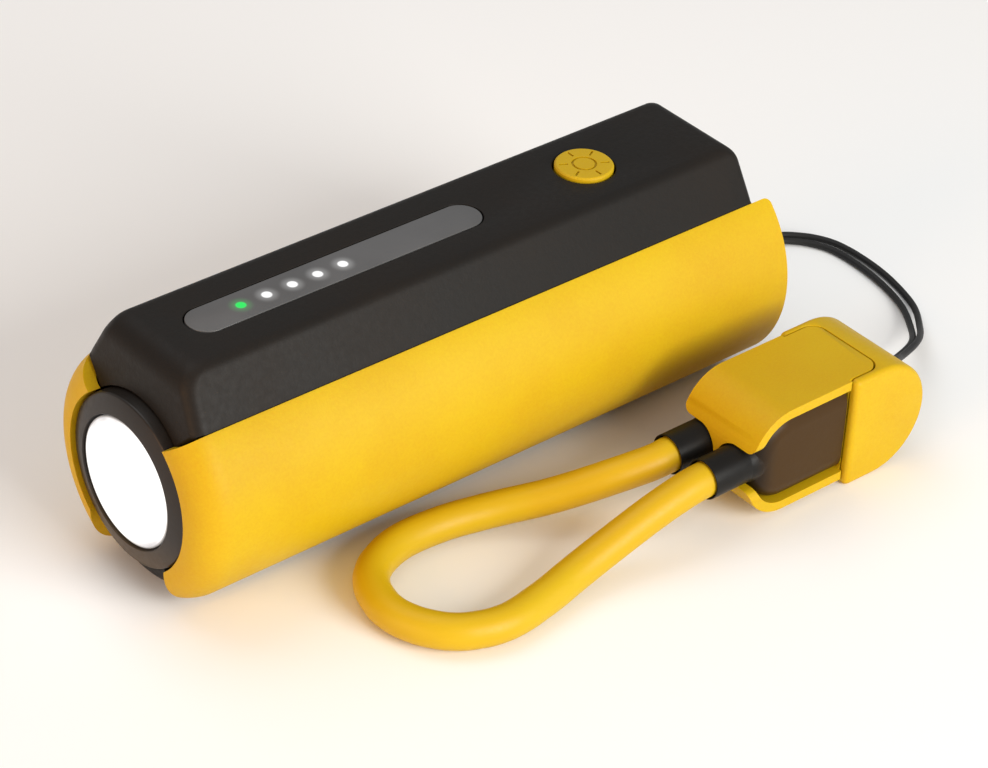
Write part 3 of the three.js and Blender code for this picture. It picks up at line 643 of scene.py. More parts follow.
class STARTER_OT_finishes(Operator):
    """Makes every finish and dresses the parts that keep their frame shape"""

    bl_idname = "starter_pack.finishes"
    bl_label = "Make finishes"

    def execute(self, context):
        chosen = colours()
        cover, cable, rail = tuple(chosen.cover), tuple(chosen.cable), tuple(chosen.rail)
        amber = (cover[0] * 0.93, cover[1] * 0.80, cover[2])
        moulded("cover_yellow", cover, 0.5, 2300, 0.00005, 0.3, amber, specular=0.2, subsurface=0.1)
        moulded("dock_yellow", cover, 0.46, 2600, 0.00003, 0.2, amber, specular=0.2, subsurface=0.1)
        moulded("button_yellow", shade(cover, 0.95), 0.5, 2600, 0.00003, 0.2, amber, specular=0.25)
        moulded("housing_black", rail, 0.5, 2400, 0.00005, 0.35, specular=0.16)
        moulded("rail_black", rail, 0.46, 2300, 0.00006, 0.4, (0.0165, 0.012, 0.009), specular=0.14)
        moulded("bezel_black", shade(rail, 1.1), 0.34, 2600, 0.00002, 0.2, (0.021, 0.013, 0.008), specular=0.3)
        # Painted warm reflection: the lower part of the bezel drifts to brown, standing in for warm light bounced up
        # from the yellow covers.
        paint_warm_reflection("bezel_black", "Z", AXIS_Z - 3, AXIS_Z - 14, (0.05, 0.03, 0.008))
        moulded("grip_black", shade(rail, 0.8), 0.36, 2800, 0.00003, 0.22, specular=0.15)
        # Painted warm reflection: the grips go from black at the heel to brown, standing in for warm light bounced
        # onto their faces.
        paint_warm_reflection("grip_black", "X", DOCK_S - 20.5, DOCK_S - 15, (0.046, 0.0215, 0.0036))
        moulded("inner_black", (0.03, 0.03, 0.03), 0.6, 2000)
        moulded("component_black", (0.02, 0.02, 0.022), 0.4, 4000)
        moulded("tongue_orange", (0.75, 0.22, 0.03), 0.4, 3000)
        moulded("socket_blue", (0.012, 0.05, 0.19), 0.42, 2400, deep=(0.01, 0.035, 0.14))
        moulded("board_white", (0.75, 0.76, 0.77), 0.5, 2500)
        moulded("cell_foil", (0.42, 0.45, 0.49), 0.4, 700, 0.0001, 0.5, metallic=0.6)
        metal("reflector_chrome", (0.85, 0.86, 0.87), 0.12, scale=600)
        metal("heat_sink_aluminium", (0.6, 0.61, 0.63), 0.4, (1, 8, 8))
        metal("screw_steel", (0.48, 0.49, 0.5), 0.34, (1, 6, 6), anisotropic=0.3)
        metal("plug_steel", (0.66, 0.67, 0.69), 0.28, (0.2, 6, 6), anisotropic=0.4)
        metal("contact_brass", (0.72, 0.5, 0.2), 0.28, (0.3, 5, 5), dull=(0.5, 0.33, 0.12))
        lamp_finish("emitter_phosphor", (0.95, 0.8, 0.2), 1.0)
        lamp_finish("lamp_green", tuple(chosen.charged), 2.0)
        lamp_finish("lamp_white", (1, 1, 1), 2.0)
        lens_finish()
        board_finish()
        lamps = [middle(f"indicator_led_{i + 1}") for i in range(sizes().lamp_count)]
        window_finish([p.x * MM for p in lamps], lamps[0].y * MM, tuple(chosen.window), tuple(chosen.charged))
        FINISHES["window_grey"] = FINISHES["smoky_window"]
        cord_finish("cable_yellow", cable, (cable[0] * 0.96, cable[1] * 0.86, cable[2]), 1800, 0.44)
        cord_finish("lanyard_black", (0.012, 0.012, 0.013), (0.022, 0.021, 0.02), 5000, 0.55, braid=2400)
        for name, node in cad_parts.items():
            node.data.materials.clear()
            node.data.materials.append(FINISHES[NODE_SLOTS[name]])
        return DONE


# Covers and housing, by one rule
COVER_SHELL = {
    "Outer Radius": COVER_R * MM, "Front": COVER_FRONT * MM, "Rear": PACK_REAR * MM, "Curl": 5.9 * MM,
    "Curl Length": 5.8 * MM, "Start Angle": math.radians(43.5), "End Angle": math.radians(152), "Side": 1.0,
    "Corner": 0.0024, "Corner Height": -0.0187, "Top Corner": 0.0013, "Front Lift": 0.06, "Lower Edge": 0.00976,
    "Free End": 0.0, "Ground": -0.03, "Curl Steps": 18, "Length Steps": 44, "Turn Steps": 96,
}
HOUSING_R = 18.3
HOUSING_BORE_R = 16.7


def shell_tree():
    """Wall of a tube round the pack's axis: plain behind, curled in at the front, with rounded rear corners.

    Free End lets the end angle pass the low corner, and Ground keeps the wall above the surface.
    """
    tree, w, given, keys = geometry_tree("shell_round_axis", COVER_SHELL)
    (outer, front, rear, curl, curl_length, start_angle, end_angle, side, corner, corner_height, top_corner,
     front_lift, lower_edge, free_end, ground, curl_steps, length_steps, turn_steps) = given
    total = curl_steps + length_steps
    grid = w.node("GeometryNodeMeshGrid", {
        "Size X": 1.0, "Size Y": 1.0, "Vertices X": total + 1.0, "Vertices Y": turn_steps + 1.0})
    grid_x, grid_y, _ = w.split(w.read(w.node("GeometryNodeInputPosition")))
    along, around = grid_x + 0.5, grid_y + 0.5
    share = curl_steps / total
    turn = w.math("DIVIDE", along, share, clamp=True) * QUARTER
    left = 1.0 - w.math("DIVIDE", along - share, 1.0 - share, clamp=True)
    plain = 1.0 - left * (left * left)
    centre = front + curl_length
    x = centre - curl_length * w.math("COSINE", turn) + plain * (rear - centre)
    r = outer - curl * (1.0 - w.math("SINE", turn))
    past = w.math("MAXIMUM", x - (rear - corner), 0.0)
    rise = corner * corner - past * past
    drop = corner_height + corner - w.math("SQRT", w.math("MAXIMUM", rise, 0.0))
    limit = w.math("ARCCOSINE", w.math("MAXIMUM", drop / r, -1.0))
    end = w.math("MINIMUM", end_angle, limit + free_end)
    edge = w.math("SUBTRACT", math.pi, w.math("ARCSINE", w.math("DIVIDE", lower_edge, r, clamp=True)))
    end = w.math("MINIMUM", end, edge + free_end)
    over = w.math("MINIMUM", w.math("MAXIMUM", x - (rear - top_corner), 0.0), top_corner)
    pull = top_corner - w.math("SQRT", top_corner * top_corner - over * over)
    inward = (outer - r) / curl
    start = start_angle - front_lift * (inward * inward) + pull / r
    angle = start + around * (end - start)
    z = w.math("MAXIMUM", r * w.math("COSINE", angle), ground)
    place = w.join(x + LENS_PLANE * MM, side * (r * w.math("SINE", angle)), z + AXIS_Z * MM)
    moved = w.node("GeometryNodeSetPosition", {"Geometry": grid.outputs["Mesh"], "Position": place})
    end_tree(w, moved.outputs["Geometry"], FINISHES["cover_yellow"])
    return tree, keys


def thicken(piece, thickness, edge, segments=3):
    """Turns a sheet's faces away from the pack's axis, and gives it an inward wall and soft edges, in metres."""
    with reworked(piece.data) as work:
        outward = 0.0
        for face in work.faces:
            centre = face.calc_center_median()
            outward += face.normal.y * centre.y + face.normal.z * (centre.z - AXIS_Z * MM)
        if outward < 0:
            bmesh.ops.reverse_faces(work, faces=work.faces)
    wall = piece.modifiers.new("wall", "SOLIDIFY")
    wall.thickness = thickness
    wall.offset = -1
    wall.use_even_offset = True
    round_edges(piece, edge, 50, segments)
    return clean(settle(piece), 50)


class STARTER_OT_covers(Operator):
    """Builds the two yellow side covers"""

    bl_idname = "starter_pack.covers"
    bl_label = "Build side covers"

    def execute(self, context):
        size = sizes()
        tree, keys = shell_tree()
        for node, side in (("left_cover", 1.0), ("right_cover", -1.0)):
            sheet = grow(f"{node}_shell", tree, keys, COVER_SHELL | {
                "Curl": size.cover_curl, "Curl Length": size.cover_curl_length, "Side": side})
            place_piece(thicken(sheet, size.cover_thickness, size.cover_edge), "pack", "cover_yellow", node)
        return DONE


class STARTER_OT_housing(Operator):
    """Builds the black lower housing with its keel"""

    bl_idname = "starter_pack.housing"
    bl_label = "Build lower housing"

    def execute(self, context):
        tree, keys = shell_tree()
        keel = grow("lower_housing_body", tree, keys, COVER_SHELL | {
            "Front": (COVER_FRONT + 2.2) * MM, "Rear": (PACK_REAR - 0.6) * MM,
            "Curl": sizes().cover_curl, "Curl Length": 8 * MM,
            "Start Angle": math.radians(152.9), "End Angle": math.radians(207.1),
            "Corner": 0.0001, "Corner Height": -0.03, "Top Corner": 0.00005, "Front Lift": 0.0, "Lower Edge": 0.0,
            "Free End": math.tau, "Ground": -AXIS_Z * MM, "Curl Steps": 16, "Length Steps": 30, "Turn Steps": 64,
        })
        thicken(keel, 2.9 * MM, 0.35 * MM, 2)
        turns = np.linspace(math.radians(40), math.radians(320), 120)
        section = [(HOUSING_R * math.sin(a), HOUSING_R * math.cos(a)) for a in turns]
        section += [(HOUSING_BORE_R * math.sin(a), HOUSING_BORE_R * math.cos(a)) for a in turns[::-1]]
        tube = prism("tube", np.array(section)[::-1], 7.3, PANEL_FRONT - 0.3, along_pack)
        seat = prism("seat", circle(0, 0, PANEL_R + 0.3, 128), PANEL_FRONT - 0.3, PACK_REAR + 3, along_pack)
        carve(keel, seat)
        carve(keel, tube, operation="UNION")
        place_piece(clean(keel, 40), "pack", "housing_black", "lower_housing")
        return DONE


# Rail
RAIL_FOOT = 15.3
RAIL_TOP_HALF = 9.8
RAIL_FRONT_ROUND = 4.5
RAIL_LEAN_FROM = 8
NOSE_R = BEZEL_R + 0.4
NOSE_SLOPE = math.tan(math.radians(42.6))
WINDOW_SIDE = 3.7


def rail_levels(rounding):
    """(height, half width, front, rear, pull of the rear end) from the foot up."""
    slope = math.atan2(RAIL_FOOT_HALF - RAIL_TOP_HALF, RAIL_TOP - RAIL_FOOT)
    knee_y = RAIL_TOP_HALF - rounding * math.tan((QUARTER - slope) / 2)
    knee_z = RAIL_TOP - rounding

    def drawn_in(z, corner):
        """The height up to the knee of a rounded end, and how far the end is pulled in above it."""
        knee = RAIL_TOP - corner
        if z <= knee:
            return z, 0.0
        return knee, corner * (1 - math.cos(math.asin(min(1.0, (z - knee) / corner))))

    def level(z, half):
        height, pulled = drawn_in(z, RAIL_FRONT_ROUND)
        lean = (height - RAIL_LEAN_FROM) / (RAIL_TOP - RAIL_FRONT_ROUND - RAIL_LEAN_FROM)
        front = RAIL_FRONT + 1.2 * lean + pulled
        height, pulled = drawn_in(z, rounding)
        rear = RAIL_REAR - 0.9 * (height - RAIL_LEAN_FROM) / (knee_z - RAIL_LEAN_FROM) - pulled
        return z, half, front, rear, pulled

    levels = [level(z, z * NOSE_SLOPE) for z in (10.0, 12.6, RAIL_FOOT - 0.25)]
    levels.append(level(RAIL_FOOT, RAIL_FOOT_HALF - 0.05))
    for z in np.linspace(RAIL_FOOT + 0.3, knee_z + rounding * math.sin(slope), 18):
        levels.append(level(z, RAIL_FOOT_HALF - (z - RAIL_FOOT) * math.tan(slope)))
    for turn in np.linspace(slope, QUARTER, 9)[1:]:
        levels.append(level(knee_z + rounding * math.sin(turn), knee_y + rounding * math.cos(turn)))
    return levels


class STARTER_OT_rail(Operator):
    """Builds the black top rail with its window slot and button hole"""

    bl_idname = "starter_pack.rail"
    bl_label = "Build top rail"

    def execute(self, context):
        rounding = sizes().rail_rounding / MM
        rings = []
        for z, half, front, rear, pulled in rail_levels(rounding):
            front_r, rear_r = (2.4 if z >= RAIL_FOOT else 1.0) - pulled * 0.2, 1.3 + pulled * 0.3
            outline = rounded(front, -half, rear, half, [front_r, rear_r, rear_r, front_r], 12)
            rings.append([above_pack(a, b, z) for a, b in outline])
        rail = loft("top_rail_body", rings)
        cavity_top = RAIL_TOP - 1.8
        cavity = np.array([(-9.0, cavity_top), (-12, 15.7), (-11.6, 14), (11.6, 14), (12, 15.7), (9.0, cavity_top)])
        carve(rail,
              prism("nose_bore", circle(0, 0, NOSE_R, 160), -5, 7.5, along_pack),
              prism("body_bore", circle(0, 0, HOUSING_R + 0.3, 160), 6.7, PACK_REAR + 5, along_pack),
              prism("cavity", cavity, 9.6, RAIL_REAR - 3.2, along_pack))
        window_low, window_high = low("indicator_window"), high("indicator_window")
        start, end = window_low.x - LENS_PLANE + 0.75, window_high.x - LENS_PLANE - 0.75
        slot = rounded(start, -WINDOW_SIDE, end, WINDOW_SIDE, WINDOW_SIDE - 0.01, 16)
        carve(rail,
              prism("window_cut", slot, 20, RAIL_TOP, above_pack, 0, -0.22),
              prism("button_cut", circle(BUTTON_X, 0, 5.2, 96), 20, RAIL_TOP, above_pack, 0, -0.3))
        place_piece(clean(rail, 32), "pack", "rail_black", "top_rail")
        return DONE


# Torch
class STARTER_OT_torch(Operator):
    """Builds the torch's bezel, lens and reflector"""

    bl_idname = "starter_pack.torch"
    bl_label = "Build torch"

    def execute(self, context):
        lens_r = high("lens").y
        lip = lens_r + 0.3
        bezel = turned("bezel_ring", soft_profile([
            (0.02, lip, 0.12), (0.95, BEZEL_R, 0.4), (12, BEZEL_R, 0.4), (12, 12.9, 0.3),
            (3.6, 12.9, 0.2), (3.6, lens_r - 0.8, 0.2), (2.2, lens_r - 0.8, 0.15), (2.2, lip, 0.1)]),
            along_pack, 160)
        place_piece(clean(bezel, 50), "pack", "bezel_black", "bezel")
        dome = [(0.12 + 0.28 * (t / 12) ** 2, lens_r * t / 12 * 0.985) for t in range(1, 13)]
        edge = soft_corner(dome[-1], (0.4, lens_r), (1.9, lens_r), 0.12, 3)
        lens = turned("torch_lens_disc", [(0.12, 0.0), *dome, *edge, (1.9, lens_r), (1.9, 0.0)], along_pack)
        place_piece(clean(lens, 50), "pack", "torch_lens", "lens")
        bowl = [(4.9 + 11.4 * t, 3 + 6.6 * math.sqrt(1 - t)) for t in np.linspace(0, 1, 24)]
        back = [(c, r + 0.9) for c, r in bowl]
        flange = [(3.9, 9.6), (3.9, 12.6), (4.9, 12.6)]
        reflector = turned("reflector_bowl", flange + back + bowl[::-1], along_pack, 96)
        place_piece(clean(reflector, 50), "pack", "reflector_chrome", "reflector")
        return DONE


# Window and button
SUN_RAYS = {
    "Count": 6, "Inner": 0.0027, "Outer": 0.0042, "Width": 0.00036, "Depth": 0.0003,
    "Centre": (middle("power_button").x * MM, 0.0, (AXIS_Z + BUTTON_TOP) * MM),
}


class STARTER_OT_window(Operator):
    """Builds the flush indicator window"""

    bl_idname = "starter_pack.window"
    bl_label = "Build indicator window"

    def execute(self, context):
        start = low("indicator_window").x - LENS_PLANE + 1
        end = high("indicator_window").x - LENS_PLANE - 1
        side = WINDOW_SIDE - 0.25
        outline = rounded(start, -side, end, side, side - 0.01, 20)
        window = prism("indicator_window_pane", outline, RAIL_TOP - 2.4, RAIL_TOP - 0.02, above_pack, 0, 0.14, 3)
        lip = prism("lip", inset(outline, -1), RAIL_TOP - 2.9, RAIL_TOP - 2.1, above_pack)
        carve(window, lip, operation="UNION")
        place_piece(clean(window, 40), "pack", "window_grey", "indicator_window")
        return DONE


def ray_tree():
    """Short bars set round a circle, for cutting the rays of the sun mark."""
    tree, w, given, keys = geometry_tree("sun_rays", SUN_RAYS)
    count, inner, outer, width, depth, centre = given
    ring = w.node("GeometryNodeMeshCircle", {"Vertices": count, "Radius": (inner + outer) * 0.5})
    bar = w.node("GeometryNodeMeshCube", {"Size": w.join(outer - inner, width, depth * 2.0)})
    step = 2 * math.pi / count
    placed = w.node("GeometryNodeInstanceOnPoints", {
        "Points": ring.outputs["Mesh"], "Instance": bar.outputs["Mesh"],
        "Rotation": w.join(z=w.read(w.node("GeometryNodeInputIndex")) * step)})
    moved = w.node("GeometryNodeTransform", {
        "Geometry": placed.outputs["Instances"], "Translation": centre, "Rotation": w.join(z=step * 0.5)})
    end_tree(w, moved.outputs["Geometry"], FINISHES["button_yellow"])
    return tree, keys


class STARTER_OT_button(Operator):
    """Builds the push button with its engraved sun mark"""

    bl_idname = "starter_pack.button"
    bl_label = "Build push button"

    def execute(self, context):
        radius = (high("power_button").y - low("power_button").y) / 2 - 1
        profile = soft_profile([(20.2, 0.0, 0), (20.2, radius, 0.2), (BUTTON_TOP - 0.3, radius, 0.15),
                                (BUTTON_TOP, radius - 0.28, 0.25), (BUTTON_TOP - 0.04, 0.0, 0)])

        def stand(a, b, c):
            return (LENS_PLANE + BUTTON_X + a, b, AXIS_Z + c)

        button = turned("push_button", profile, stand, 96)
        flange = prism("flange", circle(BUTTON_X, 0, radius + 1), RAIL_TOP - 3.2, RAIL_TOP - 2.1, above_pack,
                       0.1, 0.1, 2)
        carve(button, flange, operation="UNION")
        bottom, clear = BUTTON_TOP - 0.3, BUTTON_TOP + 1
        groove = turned("groove", [(bottom, 1.72), (bottom, 2.12), (clear, 2.12), (clear, 1.72)], stand, 64)
        tree, keys = ray_tree()
        rays = grow("rays", tree, keys, SUN_RAYS | {"Count": sizes().ray_count})
        carve(button, groove, rays)
        place_piece(clean(button, 40), "button", "button_yellow", "power_button")
        return DONE


# Rear panel
JUMP_Z = -3.5
LANYARD_POCKET_Z = -13.2
PANEL_SCREWS = [f"panel_screw_{i + 1}" for i in range(4)]
LOW_SCREW, HIGH_SCREW = middle("panel_screw_1"), middle("panel_screw_3")
SCREW_PATTERN = {
    "Height": AXIS_Z * MM, "Low Half": abs(LOW_SCREW.y) * MM, "Low": (LOW_SCREW.z - AXIS_Z) * MM,
    "High Half": abs(HIGH_SCREW.y) * MM, "High": (HIGH_SCREW.z - AXIS_Z) * MM, "Face": high("panel_screw_1").x * MM,
}


class STARTER_OT_rear(Operator):
    """Builds the rear panel with its openings and screw seats"""

    bl_idname = "starter_pack.rear"
    bl_label = "Build rear panel"

    def execute(self, context):
        def opening(y, z, width, height, r, deep=6.0):
            outline = centred(y, z, width / 2, height / 2, r, 8)
            return prism("opening", outline, PANEL_FACE - deep, PANEL_FACE, along_pack, 0, -0.3)

        panel = prism("rear_panel_plate", circle(0, 0, PANEL_R, 160), PANEL_FRONT, PANEL_FACE, along_pack, 0.1, 0.5)
        carve(panel, opening(0, JUMP_Z, 18, 9.5, 2))
        for node, r in (("usb_a_shell", 0.5), ("usb_c_shell", 1.85)):
            spot, span = middle(node), high(node) - low(node)
            carve(panel, opening(spot.y, spot.z - AXIS_Z, span.y + 0.5, span.z + 0.5, r))
        carve(panel, opening(0, LANYARD_POCKET_Z, 7, 3.6, 1.2, deep=2.0))
        for node in PANEL_SCREWS:
            screw = middle(node)
            carve(panel, prism("seat", circle(screw.y, screw.z - AXIS_Z, 1.7, 40),
                               PANEL_FACE - 1.3, PANEL_FACE, along_pack, 0, -0.2, 3))
        place_piece(clean(panel, 32), "pack", "housing_black", "rear_panel")
        return DONE


def screw_tree(head):
    """One screw head set at each of four points on the rear panel."""
    tree, w, given, keys = geometry_tree("panel_screws", SCREW_PATTERN)
    height, low_half, low_rise, high_half, high_rise, face = given
    line = w.node("GeometryNodeMeshLine", {"Count": len(PANEL_SCREWS), "Offset": (0, 0, 0)}, mode="OFFSET")
    index = w.read(w.node("GeometryNodeInputIndex"))
    upper = w.math("GREATER_THAN", index, 1.5)
    side = 1.0 - w.math("MODULO", index, 2.0) * 2.0
    half = upper * high_half + (1.0 - upper) * low_half
    rise = upper * high_rise + (1.0 - upper) * low_rise
    spots = w.node("GeometryNodeSetPosition", {
        "Geometry": line.outputs["Mesh"], "Position": w.join(face, half * side, rise + height)})
    source = w.node("GeometryNodeObjectInfo", {"Object": head})
    placed = w.node("GeometryNodeInstanceOnPoints", {
        "Points": spots.outputs["Geometry"], "Instance": source.outputs["Geometry"], "Rotation": w.join(index * 0.7)})
    end_tree(w, placed.outputs["Instances"], FINISHES["screw_steel"])
    return tree, keys


class STARTER_OT_screws(Operator):
    """Sets the four screws of the rear panel"""

    bl_idname = "starter_pack.screws"
    bl_label = "Set panel screws"

    def execute(self, context):
        def at_origin(a, b, c):
            return (c, a, b)

        head = turned("screw_head", soft_profile([(-1.0, 0.0, 0), (-1.0, 1.4, 0.1), (-0.3, 1.4, 0.12),
                                                  (0, 1.15, 0.2), (0.02, 0.0, 0)]), at_origin, 40)
        cross = prism("slot_a", rounded(-0.85, -0.2, 0.85, 0.2, 0.15, 4), -0.5, 0.5, at_origin)
        other = prism("slot_b", rounded(-0.2, -0.85, 0.2, 0.85, 0.15, 4), -0.5, 0.5, at_origin)
        clean(carve(head, cross, other), 35)
        tree, keys = screw_tree(head)
        screws = grow("panel_screws", tree, keys, SCREW_PATTERN)
        bpy.data.objects.remove(head)
        place_piece(clean(screws, 35), "pack", "screw_steel", *PANEL_SCREWS)
        return DONE


# Dock. Each plug's offset across it, and the height, thickness and length of its metal shell
SHELLS = ((PLUG_B_T, 8.3, 2.5, 6.6), (PLUG_A_T, 12, 4.5, 11.4))
TRAY_FRONT = -21.8
TRAY_HALF = 8.3
TRAY_LOW = 1.2
TRAY_WALL = 1.7
SEAT = 6.6
NECK_HALF = 7.6
NOTCH_R = 3.75
NOTCH_TIP_R = 1.6
EYE_Z = 12.6


class STARTER_OT_dock_cap(Operator):
    """Builds the yellow cap that holds the plugs' metal ends"""

    bl_idname = "starter_pack.dock_cap"
    bl_label = "Build dock cap"

    def execute(self, context):
        radius = CAP_TOP / 2
        outline = np.array(
            arc(1, 1, 1, math.pi, 1.5 * math.pi, 6)
            + arc(SEAT, radius, radius, -QUARTER, QUARTER, 48)
            + arc(1, CAP_TOP - 1, 1, QUARTER, math.pi, 6))
        cap = prism("dock_cap_body", outline, -CAP_HALF, CAP_HALF, across_dock, 0.95, 0.95, 6)
        seat = rounded(-5, -NECK_HALF - 0.3, SEAT + 0.3, NECK_HALF + 0.3, [0, 2.6, 2.6, 0], 10)
        carve(cap, prism("seat", seat, TRAY_LOW - 0.3, CAP_TOP, above_dock, 0, -0.1, 3))
        for t, height, thick, length in SHELLS:
            slot = centred(t, PLUG_MID, thick / 2 + 0.4, height / 2 + 0.4, 0.3, 4)
            carve(cap, prism("slot", slot, 2, length, along_dock))
        carve(cap, prism("eye", circle(0, EYE_Z, 1.9, 40), SEAT + 5.2, 30, along_dock))
        place_piece(clean(cap, 34), "pack", "dock_yellow", "dock_cap")
        return DONE


class STARTER_OT_dock_tray(Operator):
    """Builds the yellow band that wraps both plugs"""

    bl_idname = "starter_pack.dock_tray"
    bl_label = "Build plug tray"

    def execute(self, context):
        outer = rounded(TRAY_FRONT, TRAY_LOW, SEAT, CAP_TOP, [8.2, 0.6, 0.05, 8.2], 16)
        inner = rounded(TRAY_FRONT + TRAY_WALL, TRAY_LOW + TRAY_WALL, -0.1, CAP_TOP - TRAY_WALL, [6.5, 0.6, 0.6, 6.5], 14)
        tray = prism("plug_tray", outer, -TRAY_HALF, TRAY_HALF, across_dock, 0.04, 0.04, 1)
        carve(tray, prism("window", inner, -TRAY_HALF - 2, TRAY_HALF + 2, across_dock))
        plan = rounded(-40, -NECK_HALF, SEAT, NECK_HALF, [0.1, 2.4, 2.4, 0.1], 10)
        neck = prism("neck", plan, -5, 40, above_dock)
        body = prism("body", rounded(-41, -12, -0.3, 12, 0.1, 3), -6, 41, above_dock)
        carve(neck, body, operation="UNION")
        carve(tray, neck, operation="INTERSECT")
        for t, height, thick, _ in SHELLS:
            slot = centred(t, PLUG_MID, thick / 2 + 0.3, height / 2 + 0.3, 0.3, 4)
            carve(tray, prism("slot", slot, -1, 20, along_dock))
        for t in (PLUG_A_T, PLUG_B_T):
            side = math.copysign(1, t)
            reach, bottom, top = abs(t) + 9, PLUG_MID - NOTCH_R, PLUG_MID + NOTCH_R
            edge, low_tip, high_tip = TRAY_HALF - NOTCH_TIP_R, bottom - NOTCH_TIP_R, top + NOTCH_TIP_R
            notch = arc(abs(t), PLUG_MID, NOTCH_R, QUARTER, 1.5 * math.pi, 24)
            notch += arc(edge, low_tip, NOTCH_TIP_R, QUARTER, 0, 8) + [(reach, low_tip), (reach, high_tip)]
            notch += arc(edge, high_tip, NOTCH_TIP_R, 0, -QUARTER, 8)
            notch = np.array([(side * a, b) for a, b in notch][::int(side)])
            carve(tray, prism("notch", notch, -40, -10, along_dock))
        round_edges(clean(tray, 34), 0.4 * MM, 34, 3)
        place_piece(clean(settle(tray), 34), "cable_holder", "dock_yellow", "dock_tray")
        return DONE


class STARTER_OT_grips(Operator):
    """Builds the two moulded plug grips with their sleeves"""

    bl_idname = "starter_pack.grips"
    bl_label = "Build plug grips"

    def execute(self, context):
        front = low("plug_a_grip").x - DOCK_S
        bottom, top = low("plug_a_grip").z, high("plug_a_grip").z
        ends = [QUARTER * i / 8 for i in range(9)]
        rings = [(2.9 * (1 - math.sin(turn)), -3.9 + 2.1 * (1 - math.cos(turn))) for turn in ends]
        rings += [(d, -c) for d, c in reversed(rings)]
        profile = soft_profile([
            (front, 3.25, 0.08), (front, 3.45, 0.1), (-20.6, 3.45, 1.6), (-18.6, 3.75, 0.6), (-15.6, 3.75, 0.3),
            (-15.6, 0, 0), (front + 1.6, 0, 0), (front + 1.6, 3.25, 0.05)])
        outline = rounded(-19.8, bottom, 5, top, [6.6, 2.4, 2.4, 6.6], 16)
        plugs = (("plug_grip_near", "plug_a_grip", PLUG_A_T), ("plug_grip_far", "plug_b_grip", PLUG_B_T))
        for name, node, t in plugs:
            grip = loft(name, [[across_dock(a, b, t + c) for a, b in inset(outline, d)] for d, c in rings])

            def round_cable(a, b, c, t=t):
                return along_dock(t + a, PLUG_MID + b, c)

            sleeve = turned("sleeve", profile, round_cable, 72)
            carve(grip, prism("end", rounded(-0.6, -5, 15, 30, 0.1, 3), t - 9, t + 9, across_dock))
            carve(grip, sleeve, operation="UNION")
            place_piece(clean(grip, 40), "cable_holder", "grip_black", node)
        return DONE


# Cords, with their routes in millimetres
CABLE_ROUTE = [
    (22.65, -43.1, 11), (18.65, -43.1, 10.7), (12, -42.9, 9.2), (4, -42.3, 6.2), (-4, -42.5, 4), (-13, -44, 3.15),
    (-21.5, -44.7, 3.15), (-29, -41.3, 3.15), (-33.2, -33.1, 3.15), (-30.6, -24.1, 3.15), (-23, -19.7, 3.15),
    (-13.6, -19.4, 3.15), (-4.4, -22.3, 4), (4, -27.1, 6), (12, -32.1, 9.2), (19.65, -34.7, 10.8), (22.65, -34.7, 11),
]
EYE = (65.3, -38.9, EYE_Z)
PIN_X = 58.6
CORD_POINTS = 36


def lanyard_route(side):
    """Route of one strand, on side 1 or -1 of the pair, from the pin to the eye in the dock cap."""
    o = side * 0.8
    return [
        (PIN_X + 0.3, 1.4 * o, 7.2), (PIN_X + 4, 1.2 + o, 5.6), (PIN_X + 10, 5 + 1.1 * o, 2.4),
        (79.6, 10 + 1.2 * o, 0.75), (91.5, 13.6 + 1.3 * o, 0.75), (98.6 + 1.1 * o, 7 + o, 0.75),
        (99.6 + 1.4 * o, -4, 0.75), (96.8 + 1.1 * o, -15.6 - 0.8 * o, 0.75),
        (91 + 0.7 * o, -23.6 - 0.6 * o, 2.25 + 0.35 * o), (83.4 + 0.5 * o, -30.4 - 0.5 * o, 5.8 + 0.45 * o),
        (EYE[0] + 8 + 0.4 * o, EYE[1] + 3.2 - 0.55 * o, 9.4 + 0.5 * o),
        (EYE[0] + 2.5, EYE[1] - 0.6 * o, EYE[2] + 0.6 * o), (EYE[0] - 0.6, EYE[1] - 0.6 * o, EYE[2] + 0.6 * o),
    ]


def through(points, count):
    """Evenly spaced points on a centripetal Catmull-Rom curve through the route."""
    p = np.array(points, float)
    p = np.vstack([2 * p[0] - p[1], p, 2 * p[-1] - p[-2]])
    fine = []
    for i in range(1, len(p) - 2):
        a, b, c, d = p[i - 1:i + 3]
        t0, t1 = 0.0, np.linalg.norm(b - a) ** 0.5
        t2 = t1 + np.linalg.norm(c - b) ** 0.5
        t3 = t2 + np.linalg.norm(d - c) ** 0.5
        for t in np.linspace(t1, t2, 24, endpoint=i == len(p) - 3):
            ab = (t1 - t) / (t1 - t0) * a + (t - t0) / (t1 - t0) * b
            bc = (t2 - t) / (t2 - t1) * b + (t - t1) / (t2 - t1) * c
            cd = (t3 - t) / (t3 - t2) * c + (t - t2) / (t3 - t2) * d
            abc = (t2 - t) / (t2 - t0) * ab + (t - t0) / (t2 - t0) * bc
            bcd = (t3 - t) / (t3 - t1) * bc + (t - t1) / (t3 - t1) * cd
            fine.append((t2 - t) / (t2 - t1) * abc + (t - t1) / (t2 - t1) * bcd)
    fine = np.array(fine)
    run = np.concatenate([[0], np.cumsum(np.linalg.norm(np.diff(fine, axis=0), axis=1))])
    even = np.linspace(0, run[-1], count)
    return np.stack([np.interp(even, run, fine[:, k]) for k in range(3)], 1), float(run[-1])


def lay_cord(name, node, body, slot, route, diameter, sides, **lie):
    """Lays one cord along its route."""
    points, length = through(route, CORD_POINTS)
    curve = bpy.data.curves.new(name, "CURVE")
    curve.dimensions = "3D"
    curve.bevel_depth = diameter / 2
    curve.bevel_resolution = sides
    curve.resolution_u = 6
    curve.use_fill_caps = True
    spline = curve.splines.new("BEZIER")
    spline.bezier_points.add(CORD_POINTS - 1)
    for point, place in zip(spline.bezier_points, points):
        point.co = place * MM
        point.handle_left_type = point.handle_right_type = "AUTO"
    piece = shown(name, curve)
    place_piece(piece, body, slot, node)
    tuple(c * MM for c in route[0])


